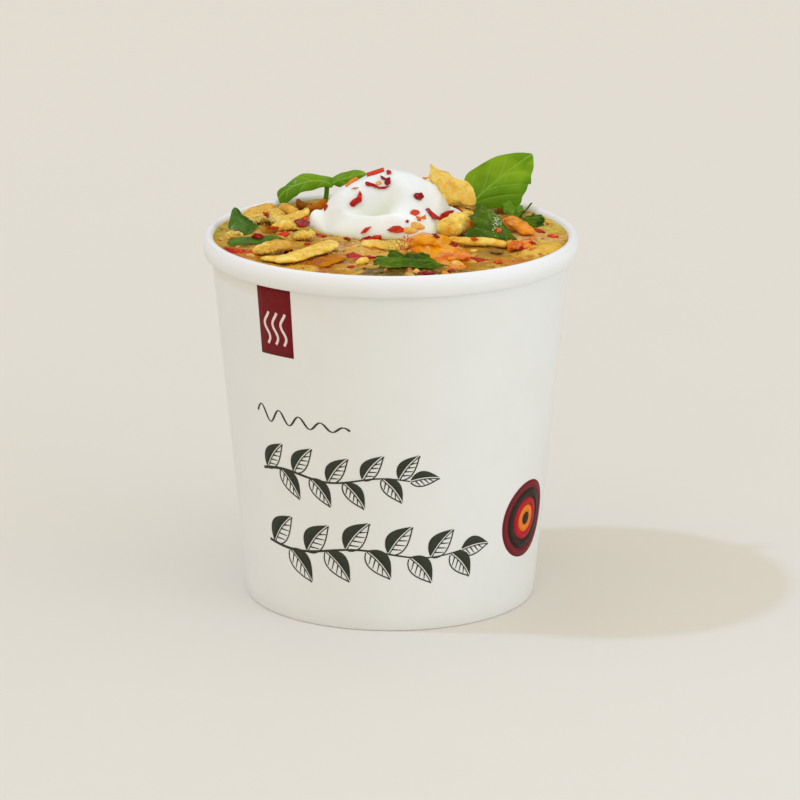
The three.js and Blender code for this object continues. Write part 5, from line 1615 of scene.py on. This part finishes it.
def strewing_tree(name):
    """Geometry nodes that strew uneven bits over a surface, with the sizes as named inputs."""
    tree = bpy.data.node_groups.new(name, "GeometryNodeTree")
    sockets = (
        ("Geometry", "NodeSocketGeometry", None), ("Density", "NodeSocketFloat", 20000.0),
        ("Smallest", "NodeSocketVector", (0.3, 0.3, 0.2)), ("Largest", "NodeSocketVector", (1.0, 1.0, 0.4)),
        ("Unevenness", "NodeSocketFloat", 0.0002), ("Seed", "NodeSocketInt", 1),
        ("Finish", "NodeSocketMaterial", None),
    )
    for label, kind, value in sockets:
        socket = tree.interface.new_socket(label, in_out="INPUT", socket_type=kind)
        if value is not None:
            socket.default_value = value
    tree.interface.new_socket("Geometry", in_out="OUTPUT", socket_type="NodeSocketGeometry")
    given = tree.nodes.new("NodeGroupInput").outputs
    sprinkled = add_node(tree, "GeometryNodeDistributePointsOnFaces", {
        "Mesh": given["Geometry"], "Density": given["Density"], "Seed": given["Seed"],
    })
    bit = add_node(tree, "GeometryNodeMeshIcoSphere", {"Radius": 0.5 * MM, "Subdivisions": 2})
    turn = add_node(tree, "FunctionNodeRandomValue", {
        0: (-BIT_TILT, -BIT_TILT, 0.0), 1: (BIT_TILT, BIT_TILT, 6.28), "Seed": given["Seed"],
    }, data_type="FLOAT_VECTOR")
    size = add_node(tree, "FunctionNodeRandomValue", {
        0: given["Smallest"], 1: given["Largest"], "Seed": given["Seed"],
    }, data_type="FLOAT_VECTOR")
    placed = add_node(tree, "GeometryNodeInstanceOnPoints", {
        "Points": sprinkled.outputs["Points"], "Instance": bit.outputs["Mesh"],
        "Rotation": turn.outputs[0], "Scale": size.outputs[0],
    })
    shade = add_node(tree, "FunctionNodeRandomValue", {"Seed": given["Seed"]}, data_type="FLOAT")
    marked = add_node(tree, "GeometryNodeStoreNamedAttribute", {
        "Geometry": placed.outputs["Instances"], "Name": "shade", "Value": shade.outputs[1],
    }, data_type="FLOAT", domain="INSTANCE")
    real = add_node(tree, "GeometryNodeRealizeInstances", {"Geometry": marked.outputs["Geometry"]})
    lumps = add_node(tree, "ShaderNodeTexNoise", {"Scale": 1100.0, "Detail": 2.0})
    centred = add_node(tree, "ShaderNodeVectorMath", {0: lumps.outputs["Color"], 1: (-0.5, -0.5, -0.5)},
                       operation="ADD")
    pushed = add_node(tree, "ShaderNodeVectorMath", {0: centred.outputs[0]}, operation="SCALE")
    tree.links.new(given["Unevenness"], pushed.inputs["Scale"])
    ragged = add_node(tree, "GeometryNodeSetPosition", {
        "Geometry": real.outputs["Geometry"], "Offset": pushed.outputs[0],
    })
    painted = add_node(tree, "GeometryNodeSetMaterial", {
        "Geometry": ragged.outputs["Geometry"], "Material": given["Finish"],
    })
    leaving = tree.nodes.new("NodeGroupOutput")
    tree.links.new(painted.outputs["Geometry"], leaving.inputs["Geometry"])
    return tree


def bit_finish(name, first, second, roughness=0.35):
    """Colours of a kind of bit, from the first to the second, wet in spots."""
    finish, tree, shader, place = new_finish(name, first, specular=0.4, radius=(0.8, 0.5, 0.2),
                                             roughness=roughness, subsurface_weight=0.15)
    shade = blended(tree, field(tree, "shade"), first, second)
    shade = patched(tree, place, 900.0, 0.4, 0.65, shade, second, amount=0.5)
    tree.links.new(shade, shader.inputs["Base Color"])
    set_wet(tree, shader, place, 700.0, dry=roughness, moist=0.14, share=0.25)
    return finish


# Only the skin away from the wall takes bits, so its upper face is made again, with fewer points.
STREWN_PART = 0.975
STREWN_RINGS = 22
STREWN_STEPS = 90
strewn_parts = np.linspace(0, STREWN_PART, STREWN_RINGS + 1)[1:]
points, faces = body_over_outline(soup_place, STREWN_STEPS, strewn_parts, np.array([STREWN_PART]))
skin_count = 1 + STREWN_RINGS * STREWN_STEPS
skin_faces = [face for face in faces if max(face) < skin_count]
skin_mesh = bpy.data.meshes.new("soup_skin")
skin_mesh.from_pydata((points[:skin_count] * MM).tolist(), [], skin_faces)
skin_holder = bpy.data.objects.new("soup_skin", skin_mesh)
scene.collection.objects.link(skin_holder)

strewing = strewing_tree("strewn_bits")
# Bits: how many to the square metre, the smallest and the largest in millimetres, how uneven, the seed,
# the slot and the finish.
BITS = {
    "onion_bits": (9000, (1.6, 1.2, 0.6), (4.2, 2.8, 1.3), 0.7, 5, "soup",
                   bit_finish("soft_onion", paint(220, 180, 92), paint(204, 150, 56))),
    "carrot_bits": (6000, (1.0, 0.8, 0.5), (2.8, 2.0, 1.1), 0.5, 8, "tomato",
                    bit_finish("soft_carrot", paint(206, 96, 22), paint(222, 140, 28))),
    "herb_bits": (9000, (0.4, 0.3, 0.2), (1.6, 0.8, 0.4), 0.2, 12, "coriander",
                  bit_finish("herb_specks", paint(88, 100, 14), paint(128, 130, 22))),
    "crumb_bits": (7000, (0.6, 0.5, 0.4), (1.8, 1.4, 1.0), 0.5, 17, "crisp",
                   bit_finish("gold_crumbs", paint(214, 150, 50), paint(236, 194, 104), 0.5)),
    "red_bits": (9000, (0.4, 0.3, 0.2), (1.5, 0.9, 0.4), 0.2, 23, "tomato",
                 bit_finish("chilli_specks", paint(160, 26, 12), paint(204, 76, 26))),
}
for name, (density, smallest, largest, uneven, seed, slot, finish) in BITS.items():
    strewn = skin_holder.modifiers.new("strewn", "NODES")
    strewn.node_group = strewing
    values = {"Density": float(density), "Smallest": smallest, "Largest": largest,
              "Unevenness": uneven * MM, "Seed": seed, "Finish": finish}
    for item in strewing.interface.items_tree:
        if item.in_out == "INPUT" and item.name in values:
            strewn[item.identifier] = values[item.name]
    mesh = bpy.data.meshes.new_from_object(
        skin_holder.evaluated_get(bpy.context.evaluated_depsgraph_get()))
    skin_holder.modifiers.remove(strewn)
    mesh.name = name
    finish_piece(bpy.data.objects.new(name, mesh), finish)
bpy.data.objects.remove(skin_holder)
